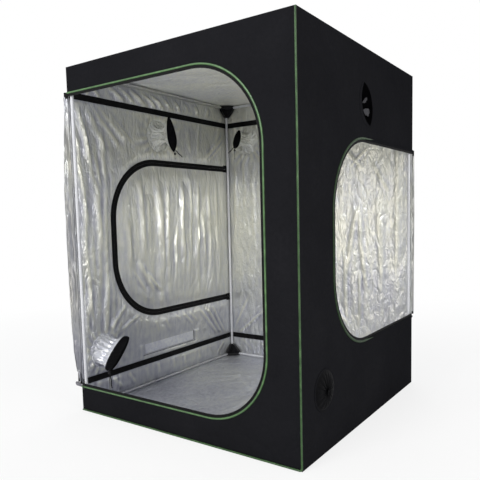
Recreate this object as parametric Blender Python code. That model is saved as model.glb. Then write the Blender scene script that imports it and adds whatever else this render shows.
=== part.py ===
"""Indoor grow tent: a pole frame with corner connectors inside a lined cloth cover with three zipped doors.

Units are metres, +Z is up. The origin is the middle of the cover's footprint, on the ground.
The front wall faces -Y. The front door and the right door are open and folded back round their corners.
"""
import math
from collections import namedtuple

import bmesh
import bpy
from mathutils import Matrix, Vector
from mathutils.geometry import tessellate_polygon

# Overall size, measured outside the cloth
TENT_WIDTH = 1.5
TENT_DEPTH = 1.5
TENT_HEIGHT = 2.0

# Cloth, and the gap that is left between pieces that touch
CLOTH = 0.003
SEAM_GAP = 0.0003
CUT_OVERRUN = 0.01

# Frame tubes and connectors
POLE_DIAMETER = 0.019
POLE_WALL = 0.0015
POLE_JOINT_DEPTH = 0.0005
POLE_JOINT_WIDTH = 0.004
POLE_JOINT_SHARE = 0.5
SOCKET_FIT = 0.0003
SOCKET_WALL = 0.0032
SOCKET_LENGTH = 0.058
SOCKET_STOP = 0.018
SOCKET_LIP_WIDTH = 0.006
SOCKET_LIP_HEIGHT = 0.0012
CORE_PROUD = 0.0014
CORE_BEVEL = 0.003
CORE_ROOT_SHARE = 0.5
GUSSET_LENGTH = 0.05
GUSSET_THICKNESS = 0.005

# Roof bar for lamps, hooked over the front and rear roof rails
ROOF_BAR_DIAMETER = 0.016
ROOF_BAR_DROP = 0.025
ROOF_BAR_OFFSET = 0.0
HOOK_STRIP = 0.0018
HOOK_WIDTH = 0.018
HOOK_TAIL = 0.006

# Doorways: a jamb is the wall left beyond a doorway's reach, and a header is the wall left above it
FRONT_JAMB = 0.192
FRONT_DOORWAY_SILL = 0.161
FRONT_HEADER = 0.16
FRONT_SILL_RADIUS_SHARE = 0.2055
FRONT_HEAD_RADIUS_SHARE = 0.2293
RIGHT_JAMB = 0.35
RIGHT_DOORWAY_SILL = 0.465
RIGHT_HEADER = 0.487
RIGHT_RADIUS_SHARE = 0.353
LEFT_DOORWAY_HINGE = 0.035
LEFT_JAMB = 0.293
LEFT_DOORWAY_SILL = 0.485
LEFT_HEADER = 0.49
LEFT_RADIUS_SHARE = 0.3756

# Zip tape and trim, wrapped round the cloth edges
TAPE_THICKNESS = 0.0012
TAPE_OUTSIDE_WIDTH = 0.0105
TRIM_INSIDE_WIDTH = 0.019
ZIP_CLEARANCE = 0.002

# Green piping
PIPING_WIDTH = 0.012
PIPING_HEIGHT = 0.0045
PIPING_CROWN_SHARE = 0.7
CORNER_PIPING_DIAMETER = 0.009
CORNER_PIPING_BEND = 0.012

# Webbing bands inside
BAND_HEIGHT = 0.038
BAND_THICKNESS = 0.0012
UPPER_BAND_DROP = 0.152
LOWER_BAND_LEVEL = 0.167
BAND_END_CLEARANCE = 0.004

# Doors: where they hang and how their cloth folds
FRONT_STANDOFF = 0.018
RIGHT_STANDOFF = 0.014
DOOR_CORNER_INSET = 0.005
LEFT_AXIS_INSET = 0.04
LEFT_AXIS_SETBACK = 0.015
DOOR_FOLD_HEIGHT = 0.008
DOOR_FOLD_PITCH = 0.29
DOOR_FOLD_LEAN = math.radians(50)
DOOR_FOLD_HEAD_SHARE = 0.6
LEFT_FOLD_HEIGHT = 0.004
LEFT_DOOR_CALM = 0.032
FOLD_MARGIN = 0.032
FOLD_RAMP = 0.12

# Bulge of the door cloth where it is folded round its corner
FRONT_BULGE_MIDDLE = 0.078
FRONT_BULGE_ENDS = 0.048
RIGHT_BULGE = 0.039
BULGE_FULLNESS = 0.7
BULGE_BOW = 0.012
BULGE_CREST = 0.006
FOLD_CLEARANCE = 0.0015
FOLD_STRIP_LAP = 0.1

# Duct ports: upper ones hang below the roof, and side ones lie off the middle of their wall or back from its front
PORT_RADIUS = 0.095
PORT_FLANGE = 0.008
PORT_FLANGE_HEIGHT = 0.0035
LEFT_UPPER_PORT_OFF_MIDDLE = 0.033
LEFT_UPPER_PORT_DROP = 0.31
LEFT_LOWER_PORT_SETBACK = 0.175
LEFT_LOWER_PORT_LEVEL = 0.322
REAR_PORT_ALONG = 0.2
REAR_PORT_DROP = 0.285
RIGHT_UPPER_PORT_DROP = 0.288
RIGHT_LOWER_PORT_SETBACK = 0.22
RIGHT_LOWER_PORT_LEVEL = 0.312

# Outer sleeves, drawn shut: how far they stand out and how far their mouths droop
MOUTH_RADIUS = 0.016
CLOSED_SLEEVE_REACH = 0.02
CLOSED_SLEEVE_DROOP = 0.006
REAR_SLEEVE_REACH = 0.03
REAR_SLEEVE_DROOP = 0.01
LOOSE_SLEEVE_REACH = 0.05
LOOSE_SLEEVE_DROOP = 0.03
# For each ring of an outer sleeve: shares of its reach, of the way from mouth to neck and of its droop, and its pleat
OUTER_SLEEVE_SHARES = ((1.0, 0.0, 1.0, 0.3), (0.92, 0.33, 0.8, 0.16), (0.6, 0.78, 0.3, 0.06))

# Inner sleeves, pressed flat at their hems
SLEEVE_INSIDE_REACH = 0.162
HEM_WIDTH = 0.05
HEM_ROOT_HALF_THICKNESS = 0.0195
HEM_LIP_HALF_THICKNESS = 0.0105
HEM_STEP = 0.003
LEFT_UPPER_HEM_HALF = 0.116
LEFT_LOWER_HEM_HALF = 0.12
REAR_HEM_HALF = 0.07
RIGHT_HEM_HALF = 0.11
LEFT_UPPER_LEAN = math.radians(10)
LEFT_LOWER_LEAN = math.radians(-43)
REAR_LEAN = math.radians(18)
RIGHT_LOWER_LEAN = math.radians(30)
# For each ring of an inner sleeve: shares of its reach, of the way to the hem's length and thickness, and its pleat
INNER_SLEEVE_SHARES = ((0.16, 0.0, 0.06, 0.03), (0.42, 0.5, 0.48, 0.06))
HEM_PLEAT_SHARE = 0.04

# Drawcords and cord locks
CORD_DIAMETER = 0.003
LEFT_UPPER_CORD_TAIL = 0.048
LEFT_LOWER_CORD_TAIL = 0.125
REAR_CORD_TAIL = 0.08
LOCK_RADIUS = 0.007
LOCK_HEIGHT = 0.014
LOCK_BEVEL = 0.0028
LOCK_SHOULDER_SHARE = 0.8
LOCK_BORE_CLEARANCE = 0.0004
LOCK_DROP = 0.006

# Vent flap and the recess that it covers
FLAP_OFF_MIDDLE = 0.02
FLAP_LENGTH = 0.496
FLAP_TOP = 0.287
FLAP_HEIGHT = 0.062
FLAP_THICKNESS = 0.0015
VENT_MARGIN = 0.015
VENT_SCREEN = 0.001

# Zip sliders
SLIDER_LENGTH = 0.0075
SLIDER_WIDTH = 0.009
SLIDER_HEIGHT = 0.003
SLIDER_BRIDGE = 0.003
PULL_LENGTH = 0.028
PULL_THICKNESS = 0.0012
PULL_RAISE = 0.0012
SLIDER_PARK = 0.022

# Floor mat
MAT_THICKNESS = 0.0015
MAT_CLEARANCE = 0.003

# How finely round shapes are cut
POLE_SIDES = 12
ARC_STEPS = 8
HOOK_STEPS = 8
SLEEVE_SIDES = 24
LOCK_SIDES = 12
CORD_POINTS = 8
FRONT_DOOR_COLUMNS = 19
RIGHT_DOOR_COLUMNS = 17
LEFT_DOOR_COLUMNS = 9
BULGE_STEPS = 4
FOLD_ROWS = 8
SHARP_ANGLE = math.radians(40)
FLAT_ANGLE = math.radians(0.5)
WELD_DISTANCE = 0.000005

# Sizes worked out from the values above
HALF_WIDTH = TENT_WIDTH / 2
HALF_DEPTH = TENT_DEPTH / 2
POLE_RADIUS = POLE_DIAMETER / 2
SOCKET_BORE = POLE_RADIUS + SOCKET_FIT
SOCKET_RADIUS = SOCKET_BORE + SOCKET_WALL
CORE_HALF = SOCKET_RADIUS + CORE_PROUD
FRAME_INSET = CLOTH + SEAM_GAP + CORE_HALF
FRAME_X = HALF_WIDTH - FRAME_INSET
FRAME_Y = HALF_DEPTH - FRAME_INSET
FLOOR_RAIL_LEVEL = FRAME_INSET
ROOF_RAIL_LEVEL = TENT_HEIGHT - FRAME_INSET
DOOR_EDGE_SETBACK = 2 * (SEAM_GAP + TAPE_THICKNESS) + ZIP_CLEARANCE
INNER_EDGE = CLOTH + SEAM_GAP
UPPER_BAND_LEVEL = TENT_HEIGHT - UPPER_BAND_DROP
FLAP_START = (TENT_DEPTH - FLAP_LENGTH) / 2 - FLAP_OFF_MIDDLE


# Scene helpers

def clear_scene():
    for old in list(bpy.data.objects):
        bpy.data.objects.remove(old, do_unlink=True)


def make_material(name, colour, roughness, metallic=0.0):
    material = bpy.data.materials.new(name)
    material.use_nodes = True
    shader = material.node_tree.nodes["Principled BSDF"]
    shader.inputs["Base Color"].default_value = (*colour, 1.0)
    shader.inputs["Roughness"].default_value = roughness
    shader.inputs["Metallic"].default_value = metallic
    return material


def mesh_from(bm, name):
    bm.normal_update()
    bmesh.ops.triangulate(bm, faces=bm.faces)
    bmesh.ops.recalc_face_normals(bm, faces=bm.faces)
    mesh = bpy.data.meshes.new(name)
    bm.to_mesh(mesh)
    bm.free()
    return mesh


def add_object(name, mesh, material, carrier=None, smooth=False):
    piece = bpy.data.objects.new(name, mesh)
    bpy.context.scene.collection.objects.link(piece)
    mesh.materials.clear()
    mesh.materials.append(material)
    if smooth:
        mesh.shade_smooth()
        mesh.set_sharp_from_angle(angle=SHARP_ANGLE)
    if carrier is not None:
        mesh.transform(Matrix.Translation(-carrier.location))
        piece.parent = carrier
    return piece


def add_joint(name, place, turn=0.0):
    """An empty on a joint's axis; the pieces that it carries are drawn before they turn."""
    joint = bpy.data.objects.new(name, None)
    joint.location = place
    joint.rotation_euler = (0, 0, turn)
    bpy.context.scene.collection.objects.link(joint)
    return joint


def combine(name, base, joined=(), cut=()):
    """Join and cut meshes with exact Booleans and return the result as one mesh."""
    tools = []
    body = bpy.data.objects.new(name, base)
    bpy.context.scene.collection.objects.link(body)
    for operation, meshes in (("UNION", joined), ("DIFFERENCE", cut)):
        for mesh in meshes:
            tool = bpy.data.objects.new(name + "_tool", mesh)
            tool.hide_render = True
            tool.display_type = "WIRE"
            bpy.context.scene.collection.objects.link(tool)
            step = body.modifiers.new(operation.lower(), "BOOLEAN")
            step.operation = operation
            step.object = tool
            tools.append(tool)
    graph = bpy.context.evaluated_depsgraph_get()
    result = bpy.data.meshes.new_from_object(body.evaluated_get(graph))
    for used in [body] + tools:
        bpy.data.objects.remove(used, do_unlink=True)
    bm = bmesh.new()
    bm.from_mesh(result)
    bmesh.ops.remove_doubles(bm, verts=bm.verts, dist=WELD_DISTANCE)
    bmesh.ops.dissolve_limit(bm, angle_limit=FLAT_ANGLE, verts=bm.verts, edges=bm.edges)
    return mesh_from(bm, name)


# Basic shapes

def skin_rings(rings, closed_loop=False, name="rings"):
    """Join equal rings of points into one closed body, capped unless the rings close on themselves."""
    bm = bmesh.new()
    loops = [[bm.verts.new(point) for point in ring] for ring in rings]
    pairs = list(zip(loops, loops[1:]))
    if closed_loop:
        pairs.append((loops[-1], loops[0]))
    for low, high in pairs:
        for i in range(len(low)):
            j = (i + 1) % len(low)
            bm.faces.new((low[i], low[j], high[j], high[i]))
    if not closed_loop:
        bm.faces.new(loops[0])
        bm.faces.new(list(reversed(loops[-1])))
    return mesh_from(bm, name)


def prism(outline, holes, place, low, high, name="prism"):
    """A flat plate with holes: place(a, b, h) turns its plane into space, from height low to high."""
    loops = [[Vector((a, b, 0)) for a, b in loop] for loop in [outline] + list(holes)]
    points = [point for loop in loops for point in loop]
    bm = bmesh.new()
    lower = [bm.verts.new(place(p.x, p.y, low)) for p in points]
    upper = [bm.verts.new(place(p.x, p.y, high)) for p in points]
    for i, j, k in tessellate_polygon(loops):
        bm.faces.new((lower[i], lower[j], lower[k]))
        bm.faces.new((upper[k], upper[j], upper[i]))
    first = 0
    for loop in loops:
        for i in range(len(loop)):
            a = first + i
            b = first + (i + 1) % len(loop)
            bm.faces.new((lower[a], lower[b], upper[b], upper[a]))
        first += len(loop)
    return mesh_from(bm, name)


def box(low, high, name="box"):
    outline = [(low[0], low[1]), (high[0], low[1]), (high[0], high[1]), (low[0], high[1])]
    return prism(outline, [], lambda x, y, z: (x, y, z), low[2], high[2], name)


def turned_ring(profile, start, direction, sides, name="ring"):
    """Turn a closed profile of (distance along, radius) points round an axis."""
    turn = Vector((0, 0, 1)).rotation_difference(Vector(direction)).to_matrix()
    rings = []
    for i in range(sides):
        angle = math.tau * i / sides
        ring = []
        for along, radius in profile:
            point = turn @ Vector((radius * math.cos(angle), radius * math.sin(angle), along))
            ring.append(Vector(start) + point)
        rings.append(ring)
    return skin_rings(rings, closed_loop=True, name=name)


def solid_rod(start, direction, length, radius, sides, name="rod"):
    turn = Vector((0, 0, 1)).rotation_difference(Vector(direction)).to_matrix()
    rings = []
    for along in (0.0, length):
        ring = []
        for i in range(sides):
            angle = math.tau * i / sides
            ring.append(Vector(start) + turn @ Vector((radius * math.cos(angle), radius * math.sin(angle), along)))
        rings.append(ring)
    return skin_rings(rings, name=name)


def ramp(value):
    """Smooth step from 0 to 1."""
    t = min(max(value, 0.0), 1.0)
    return t * t * (3 - 2 * t)


# Walls and doorways

def on_wall(wall, s, z, h):
    """A point on a wall: s along it from its door's corner, z up, h out from the cover's outer face."""
    if wall == "front":
        return Vector((s - HALF_WIDTH, -HALF_DEPTH - h, z))
    if wall == "rear":
        return Vector((s - HALF_WIDTH, HALF_DEPTH + h, z))
    if wall == "left":
        return Vector((-HALF_WIDTH - h, HALF_DEPTH - s, z))
    return Vector((HALF_WIDTH + h, HALF_DEPTH - s, z))


class Doorway:
    """A D-shaped doorway: straight on its hinge side, with two rounded corners on the other."""

    def __init__(self, wall, hinge, reach, sill, head, sill_radius, head_radius):
        self.wall = wall
        self.hinge = hinge
        self.reach = reach
        self.sill = sill
        self.head = head
        self.sill_radius = sill_radius
        self.head_radius = head_radius

    def edge(self, offset=0.0, start=None):
        """Points (s, z) and outward directions along the D, moved out into the wall by offset."""
        first = self.hinge if start is None else max(start, self.hinge)
        stations = [(first, self.sill - offset, 0.0, -1.0)]
        corners = (
            (self.sill + self.sill_radius, self.sill_radius, -math.pi / 2),
            (self.head - self.head_radius, self.head_radius, 0.0),
        )
        for level, radius, begin in corners:
            for i in range(ARC_STEPS + 1):
                angle = begin + math.pi / 2 * i / ARC_STEPS
                along, up = math.cos(angle), math.sin(angle)
                s = self.reach - radius + (radius + offset) * along
                stations.append((s, level + (radius + offset) * up, along, up))
        stations.append((first, self.head + offset, 0.0, 1.0))
        return stations

    def depth_inside(self, s, z):
        """How far a point lies inside the doorway's edge."""
        nearest = min(self.reach - s, z - self.sill, self.head - z)
        for level, radius, below in (
            (self.sill + self.sill_radius, self.sill_radius, True),
            (self.head - self.head_radius, self.head_radius, False),
        ):
            centre = self.reach - radius
            if s > centre and (z < level) == below:
                nearest = min(nearest, radius - math.hypot(s - centre, z - level))
        return nearest


def make_doorway(wall, hinge, wall_length, jamb, sill, header, radius_shares):
    """A doorway whose corner radii are shares of its height."""
    head = TENT_HEIGHT - header
    sill_radius, head_radius = [(head - sill) * share for share in radius_shares]
    return Doorway(wall, hinge, wall_length - jamb, sill, head, sill_radius, head_radius)


FRONT_DOORWAY = make_doorway("front", 0.0, TENT_WIDTH, FRONT_JAMB, FRONT_DOORWAY_SILL, FRONT_HEADER,
                             (FRONT_SILL_RADIUS_SHARE, FRONT_HEAD_RADIUS_SHARE))
RIGHT_DOORWAY = make_doorway("right", 0.0, TENT_DEPTH, RIGHT_JAMB, RIGHT_DOORWAY_SILL, RIGHT_HEADER,
                             (RIGHT_RADIUS_SHARE, RIGHT_RADIUS_SHARE))
LEFT_DOORWAY = make_doorway("left", LEFT_DOORWAY_HINGE, TENT_DEPTH, LEFT_JAMB, LEFT_DOORWAY_SILL, LEFT_HEADER,
                            (LEFT_RADIUS_SHARE, LEFT_RADIUS_SHARE))

Port = namedtuple("Port", "wall along level reach droop hem_half lean")
PORTS = {
    "left_upper": Port("left", HALF_DEPTH + LEFT_UPPER_PORT_OFF_MIDDLE, TENT_HEIGHT - LEFT_UPPER_PORT_DROP,
                       CLOSED_SLEEVE_REACH, CLOSED_SLEEVE_DROOP, LEFT_UPPER_HEM_HALF, LEFT_UPPER_LEAN),
    "left_lower": Port("left", TENT_DEPTH - LEFT_LOWER_PORT_SETBACK, LEFT_LOWER_PORT_LEVEL,
                       CLOSED_SLEEVE_REACH, CLOSED_SLEEVE_DROOP, LEFT_LOWER_HEM_HALF, LEFT_LOWER_LEAN),
    "rear_upper": Port("rear", REAR_PORT_ALONG, TENT_HEIGHT - REAR_PORT_DROP,
                       REAR_SLEEVE_REACH, REAR_SLEEVE_DROOP, REAR_HEM_HALF, REAR_LEAN),
    "right_upper": Port("right", HALF_DEPTH, TENT_HEIGHT - RIGHT_UPPER_PORT_DROP,
                        LOOSE_SLEEVE_REACH, LOOSE_SLEEVE_DROOP, RIGHT_HEM_HALF, 0.0),
    "right_lower": Port("right", TENT_DEPTH - RIGHT_LOWER_PORT_SETBACK, RIGHT_LOWER_PORT_LEVEL,
                        CLOSED_SLEEVE_REACH, CLOSED_SLEEVE_DROOP, RIGHT_HEM_HALF, RIGHT_LOWER_LEAN),
}
# Free length of the drawcord under the hems that have one
CORD_TAILS = {"left_upper": LEFT_UPPER_CORD_TAIL, "left_lower": LEFT_LOWER_CORD_TAIL, "rear_upper": REAR_CORD_TAIL}


def port_circle(count):
    """Directions (along, up) round a port, from its top."""
    return [(math.sin(math.tau * i / count), math.cos(math.tau * i / count)) for i in range(count)]


def sleeve_ring(port, h, long_half, short_half, pleat=0.0, drop=0.0, lean=0.0):
    """One ring of a sleeve: an ellipse along its hem's direction, with alternate points drawn in."""
    ring = []
    for i, (across, up) in enumerate(port_circle(SLEEVE_SIDES)):
        swell = 1 + (pleat if i % 2 == 0 else -pleat)
        a = across * short_half * swell
        b = up * long_half * swell
        ring.append(on_wall(port.wall, port.along + b * math.sin(lean) + a * math.cos(lean),
                            port.level + b * math.cos(lean) - a * math.sin(lean) - drop, h))
    return ring


def port_hole(name):
    port = PORTS[name]
    return [(port.along + PORT_RADIUS * a, port.level + PORT_RADIUS * b) for a, b in port_circle(SLEEVE_SIDES)]


def hem_tip(port):
    """The lowest point of a hem, in the middle of its width."""
    depth = HEM_WIDTH / 2 - SLEEVE_INSIDE_REACH
    return on_wall(port.wall, port.along - port.hem_half * math.sin(port.lean),
                   port.level - port.hem_half * math.cos(port.lean), depth)


# Frame

def pole_mesh(start, direction, length, jointed, name):
    inner = POLE_RADIUS - POLE_WALL
    outside = [(0.0, POLE_RADIUS)]
    if jointed:
        middle = length * POLE_JOINT_SHARE
        half = POLE_JOINT_WIDTH / 2
        outside += [(middle - half, POLE_RADIUS), (middle, POLE_RADIUS - POLE_JOINT_DEPTH),
                    (middle + half, POLE_RADIUS)]
    outside.append((length, POLE_RADIUS))
    profile = outside + [(length, inner), (0.0, inner)]
    return turned_ring(profile, start, direction, POLE_SIDES, name)


def connector_mesh():
    """A three-way connector whose sockets run along +X, +Y and +Z from the middle of its core."""
    bm = bmesh.new()
    bmesh.ops.create_cube(bm, size=2 * CORE_HALF)
    bmesh.ops.bevel(bm, geom=bm.edges[:], offset=CORE_BEVEL, segments=1, affect="EDGES")
    core = mesh_from(bm, "core")
    ways = ((1, 0, 0), (0, 1, 0), (0, 0, 1))
    root = CORE_HALF * CORE_ROOT_SHARE
    foot = (SOCKET_RADIUS + CORE_HALF) / 2
    arms = []
    bores = []
    lip = SOCKET_RADIUS + SOCKET_LIP_HEIGHT
    for way in ways:
        profile = [(foot, SOCKET_RADIUS), (SOCKET_LENGTH - SOCKET_LIP_WIDTH, SOCKET_RADIUS),
                   (SOCKET_LENGTH - SOCKET_LIP_WIDTH, lip), (SOCKET_LENGTH, lip)]
        rings = []
        turn = Vector((0, 0, 1)).rotation_difference(Vector(way)).to_matrix()
        for along, radius in profile:
            ring = []
            for i in range(POLE_SIDES):
                angle = math.tau * i / POLE_SIDES
                ring.append(turn @ Vector((radius * math.cos(angle), radius * math.sin(angle), along)))
            rings.append(ring)
        arms.append(skin_rings(rings, name="arm"))
        start = Vector(way) * SOCKET_STOP
        bores.append(solid_rod(start, way, SOCKET_LENGTH + CUT_OVERRUN, SOCKET_BORE, POLE_SIDES, "bore"))
    half = GUSSET_THICKNESS / 2
    corner = [(root, root), (GUSSET_LENGTH, root), (root, GUSSET_LENGTH)]
    gussets = [
        prism(corner, [], lambda a, b, h: (a, b, h), -half, half),
        prism(corner, [], lambda a, b, h: (a, h, b), -half, half),
        prism(corner, [], lambda a, b, h: (h, a, b), -half, half),
    ]
    return combine("connector", core, arms + gussets, bores)


def build_frame(plastic, steel):
    master = connector_mesh()
    sides = {"left": -1, "right": 1}
    fronts = {"front": -1, "rear": 1}
    levels = {"lower": (-1, FLOOR_RAIL_LEVEL), "upper": (1, ROOF_RAIL_LEVEL)}
    for side, sx in sides.items():
        for front, sy in fronts.items():
            for level, (sz, z) in levels.items():
                mesh = master.copy()
                mesh.transform(Matrix.Diagonal((-sx, -sy, -sz, 1)))
                if sx * sy * sz > 0:
                    mesh.flip_normals()
                piece = add_object(f"connector_{front}_{side}_{level}", mesh, plastic, smooth=True)
                piece.location = (sx * FRAME_X, sy * FRAME_Y, z)
            bottom = FLOOR_RAIL_LEVEL + SOCKET_STOP + SEAM_GAP
            top = ROOF_RAIL_LEVEL - SOCKET_STOP - SEAM_GAP
            post = pole_mesh((sx * FRAME_X, sy * FRAME_Y, bottom), (0, 0, 1), top - bottom, True, "post")
            add_object(f"post_{front}_{side}", post, steel, smooth=True)
    reach = SOCKET_STOP + SEAM_GAP
    for level, (sz, z) in levels.items():
        kind = "floor_rail" if level == "lower" else "roof_rail"
        for front, sy in fronts.items():
            rail = pole_mesh((reach - FRAME_X, sy * FRAME_Y, z), (1, 0, 0), 2 * (FRAME_X - reach), False, "rail")
            add_object(f"{kind}_{front}", rail, steel, smooth=True)
        for side, sx in sides.items():
            rail = pole_mesh((sx * FRAME_X, reach - FRAME_Y, z), (0, 1, 0), 2 * (FRAME_Y - reach), False, "rail")
            add_object(f"{kind}_{side}", rail, steel, smooth=True)
    bpy.data.meshes.remove(master)


def hook_outline(sign):
    """Side view (y, z) of the strip that hooks over a roof rail; sign is -1 at the front and 1 at the rear."""
    inner = POLE_RADIUS + SEAM_GAP
    outer = inner + HOOK_STRIP
    centre = sign * FRAME_Y
    bar_bottom = ROOF_RAIL_LEVEL - ROOF_BAR_DROP - ROOF_BAR_DIAMETER / 2 - HOOK_STRIP
    outside = []
    inside = []
    for i in range(HOOK_STEPS + 1):
        angle = math.pi * i / HOOK_STEPS
        y, z = -sign * math.cos(angle), math.sin(angle)
        outside.append((centre + outer * y, ROOF_RAIL_LEVEL + outer * z))
        inside.append((centre + inner * y, ROOF_RAIL_LEVEL + inner * z))
    tail = ROOF_RAIL_LEVEL - HOOK_TAIL
    foot = [(centre - sign * inner, bar_bottom), (centre - sign * outer, bar_bottom)]
    tip = [(centre + sign * outer, tail), (centre + sign * inner, tail)]
    return [foot[1]] + outside + tip + list(reversed(inside)) + [foot[0]]


def build_roof_bar(steel):
    level = ROOF_RAIL_LEVEL - ROOF_BAR_DROP
    end = FRAME_Y - POLE_RADIUS - SEAM_GAP - HOOK_STRIP / 2
    start = (ROOF_BAR_OFFSET, -end, level)
    bar = solid_rod(start, (0, 1, 0), 2 * end, ROOF_BAR_DIAMETER / 2, POLE_SIDES, "bar")
    hooks = []
    for sign in (-1, 1):
        hooks.append(prism(hook_outline(sign), [], lambda y, z, h: (ROOF_BAR_OFFSET + h, y, z),
                           -HOOK_WIDTH / 2, HOOK_WIDTH / 2, "hook"))
    add_object("roof_bar", combine("roof_bar", bar, hooks), steel, smooth=True)


# Cover

def wall_plate(wall, outline, holes):
    return prism(outline, holes, lambda s, z, h: on_wall(wall, s, z, h), -CLOTH, 0.0, "wall")


def doorway_outline(doorway, low, high, first, last):
    """A wall's outline with a doorway that is open at its hinge corner."""
    outline = [(first, low), (last, low), (last, high), (first, high)]
    edge = [(s, z) for s, z, along, up in doorway.edge(start=first)]
    return outline + list(reversed(edge))


def build_cover(black, silver):
    front = doorway_outline(FRONT_DOORWAY, 0.0, TENT_HEIGHT, 0.0, TENT_WIDTH)
    add_object("cover_front_wall", wall_plate("front", front, []), black)
    rear = [(0.0, 0.0), (TENT_WIDTH, 0.0), (TENT_WIDTH, TENT_HEIGHT), (0.0, TENT_HEIGHT)]
    add_object("cover_rear_wall", wall_plate("rear", rear, [port_hole("rear_upper")]), black)
    first = INNER_EDGE
    last = TENT_DEPTH - INNER_EDGE
    right = doorway_outline(RIGHT_DOORWAY, 0.0, TENT_HEIGHT, first, last)
    holes = [port_hole("right_upper"), port_hole("right_lower")]
    add_object("cover_right_wall", wall_plate("right", right, holes), black)
    left = [(first, 0.0), (last, 0.0), (last, TENT_HEIGHT), (first, TENT_HEIGHT)]
    holes = [[(s, z) for s, z, along, up in LEFT_DOORWAY.edge()], port_hole("left_upper"), port_hole("left_lower")]
    plate = wall_plate("left", left, holes)
    vent_low = on_wall("left", FLAP_START + FLAP_LENGTH - VENT_MARGIN, FLAP_TOP - FLAP_HEIGHT + VENT_MARGIN,
                       CUT_OVERRUN)
    vent_high = on_wall("left", FLAP_START + VENT_MARGIN, FLAP_TOP - VENT_MARGIN, VENT_SCREEN - CLOTH)
    add_object("cover_left_wall", combine("left_wall", plate, cut=[box(vent_low, vent_high)]), black)
    x = HALF_WIDTH - INNER_EDGE
    y = HALF_DEPTH - INNER_EDGE
    add_object("cover_roof", box((-x, -y, TENT_HEIGHT - CLOTH), (x, y, TENT_HEIGHT)), black)
    add_object("cover_floor", box((-x, -y, 0.0), (x, y, CLOTH)), black)
    x = FRAME_X - CORE_HALF - MAT_CLEARANCE
    y = FRAME_Y - CORE_HALF - MAT_CLEARANCE
    add_object("floor_mat", box((-x, -y, INNER_EDGE), (x, y, INNER_EDGE + MAT_THICKNESS)), silver)


def build_bands(webbing):
    """Webbing along the left, rear and right walls, near the top and near the bottom."""
    for name, level in (("upper_band", UPPER_BAND_LEVEL), ("lower_band", LOWER_BAND_LEVEL)):
        x = HALF_WIDTH - INNER_EDGE
        y = HALF_DEPTH - INNER_EDGE
        front = -y + BAND_END_CLEARANCE
        inner_x = x - BAND_THICKNESS
        inner_y = y - BAND_THICKNESS
        outline = [(-x, front), (-x, y), (x, y), (x, front), (inner_x, front), (inner_x, inner_y),
                   (-inner_x, inner_y), (-inner_x, front)]
        band = prism(outline, [], lambda a, b, h: (a, b, h), level - BAND_HEIGHT / 2, level + BAND_HEIGHT / 2, name)
        add_object(name, band, webbing)


def along_edge(doorway, profile, offset=0.0, start=None, name="edging"):
    """Run a profile of (d, h) points along a doorway's edge; d is outward in the wall, h is out of it."""
    rings = []
    for s, z, along, up in doorway.edge(offset, start):
        rings.append([on_wall(doorway.wall, s + along * d, z + up * d, h) for d, h in profile])
    return skin_rings(rings, name=name)


def binding_profile(sign):
    """Tape folded round a cloth edge: sign is 1 on the wall's side of the zip and -1 on the door's."""
    wrap = SEAM_GAP + TAPE_THICKNESS
    outer = [(TAPE_OUTSIDE_WIDTH, SEAM_GAP), (TAPE_OUTSIDE_WIDTH, wrap), (-wrap, wrap)]
    inner = [(-wrap, -CLOTH - wrap), (TRIM_INSIDE_WIDTH, -CLOTH - wrap), (TRIM_INSIDE_WIDTH, -INNER_EDGE),
             (-SEAM_GAP, -INNER_EDGE), (-SEAM_GAP, SEAM_GAP)]
    return [(sign * d, h) for d, h in outer + inner]


def build_edgings(webbing, green):
    half = PIPING_WIDTH / 2
    middle = TAPE_OUTSIDE_WIDTH + SEAM_GAP + half
    crown = half * PIPING_CROWN_SHARE
    shoulder = PIPING_HEIGHT * PIPING_CROWN_SHARE
    piping = [(middle - half, SEAM_GAP), (middle - crown, shoulder), (middle, PIPING_HEIGHT),
              (middle + crown, shoulder), (middle + half, SEAM_GAP)]
    for name, doorway in (("front", FRONT_DOORWAY), ("right", RIGHT_DOORWAY), ("left", LEFT_DOORWAY)):
        bead = along_edge(doorway, piping, name="piping")
        add_object(f"{name}_doorway_piping", bead, green, smooth=True)
        tape = along_edge(doorway, binding_profile(1), start=INNER_EDGE + SEAM_GAP, name="tape")
        add_object(f"{name}_zip_tape", tape, webbing)


def build_front_piping(green):
    """Piping down the front right corner and back along the foot of the front wall."""
    radius = CORNER_PIPING_DIAMETER / 2
    y = -HALF_DEPTH - radius - SEAM_GAP
    x = HALF_WIDTH
    z = radius + SEAM_GAP
    bend = CORNER_PIPING_BEND
    points = [(x, TENT_HEIGHT - radius)]
    for i in range(ARC_STEPS // 2 + 1):
        angle = math.pi / 2 * i / (ARC_STEPS // 2)
        points.append((x - bend + bend * math.cos(angle), z + bend - bend * math.sin(angle)))
    points.append((-HALF_WIDTH + radius, z))
    route = [(a, y, b) for a, b in points]
    add_cord("front_piping", route, radius, green)


def add_cord(name, route, radius, material):
    """A round cord along a route, as a curve with a bevel and filled caps."""
    curve = bpy.data.curves.new(name, "CURVE")
    curve.dimensions = "3D"
    curve.bevel_depth = radius
    curve.bevel_resolution = 2
    curve.use_fill_caps = True
    line = curve.splines.new("POLY")
    line.points.add(len(route) - 1)
    for point, place in zip(line.points, route):
        point.co = (*place, 1.0)
    curve.materials.append(material)
    piece = bpy.data.objects.new(name, curve)
    bpy.context.scene.collection.objects.link(piece)


# Doors

def door_rows(doorway):
    """Rows (z, far end) of a door's cloth, from its sill to its head."""
    edge = doorway.edge(-DOOR_EDGE_SETBACK)
    low = [(z, s) for s, z, along, up in edge[1:ARC_STEPS + 2]]
    high = [(z, s) for s, z, along, up in edge[ARC_STEPS + 2:-1]]
    between = []
    count = ARC_STEPS // 2
    for i in range(1, count):
        share = i / count
        between.append((low[-1][0] + share * (high[0][0] - low[-1][0]),
                        low[-1][1] + share * (high[0][1] - low[-1][1])))
    return low + between + high


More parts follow.
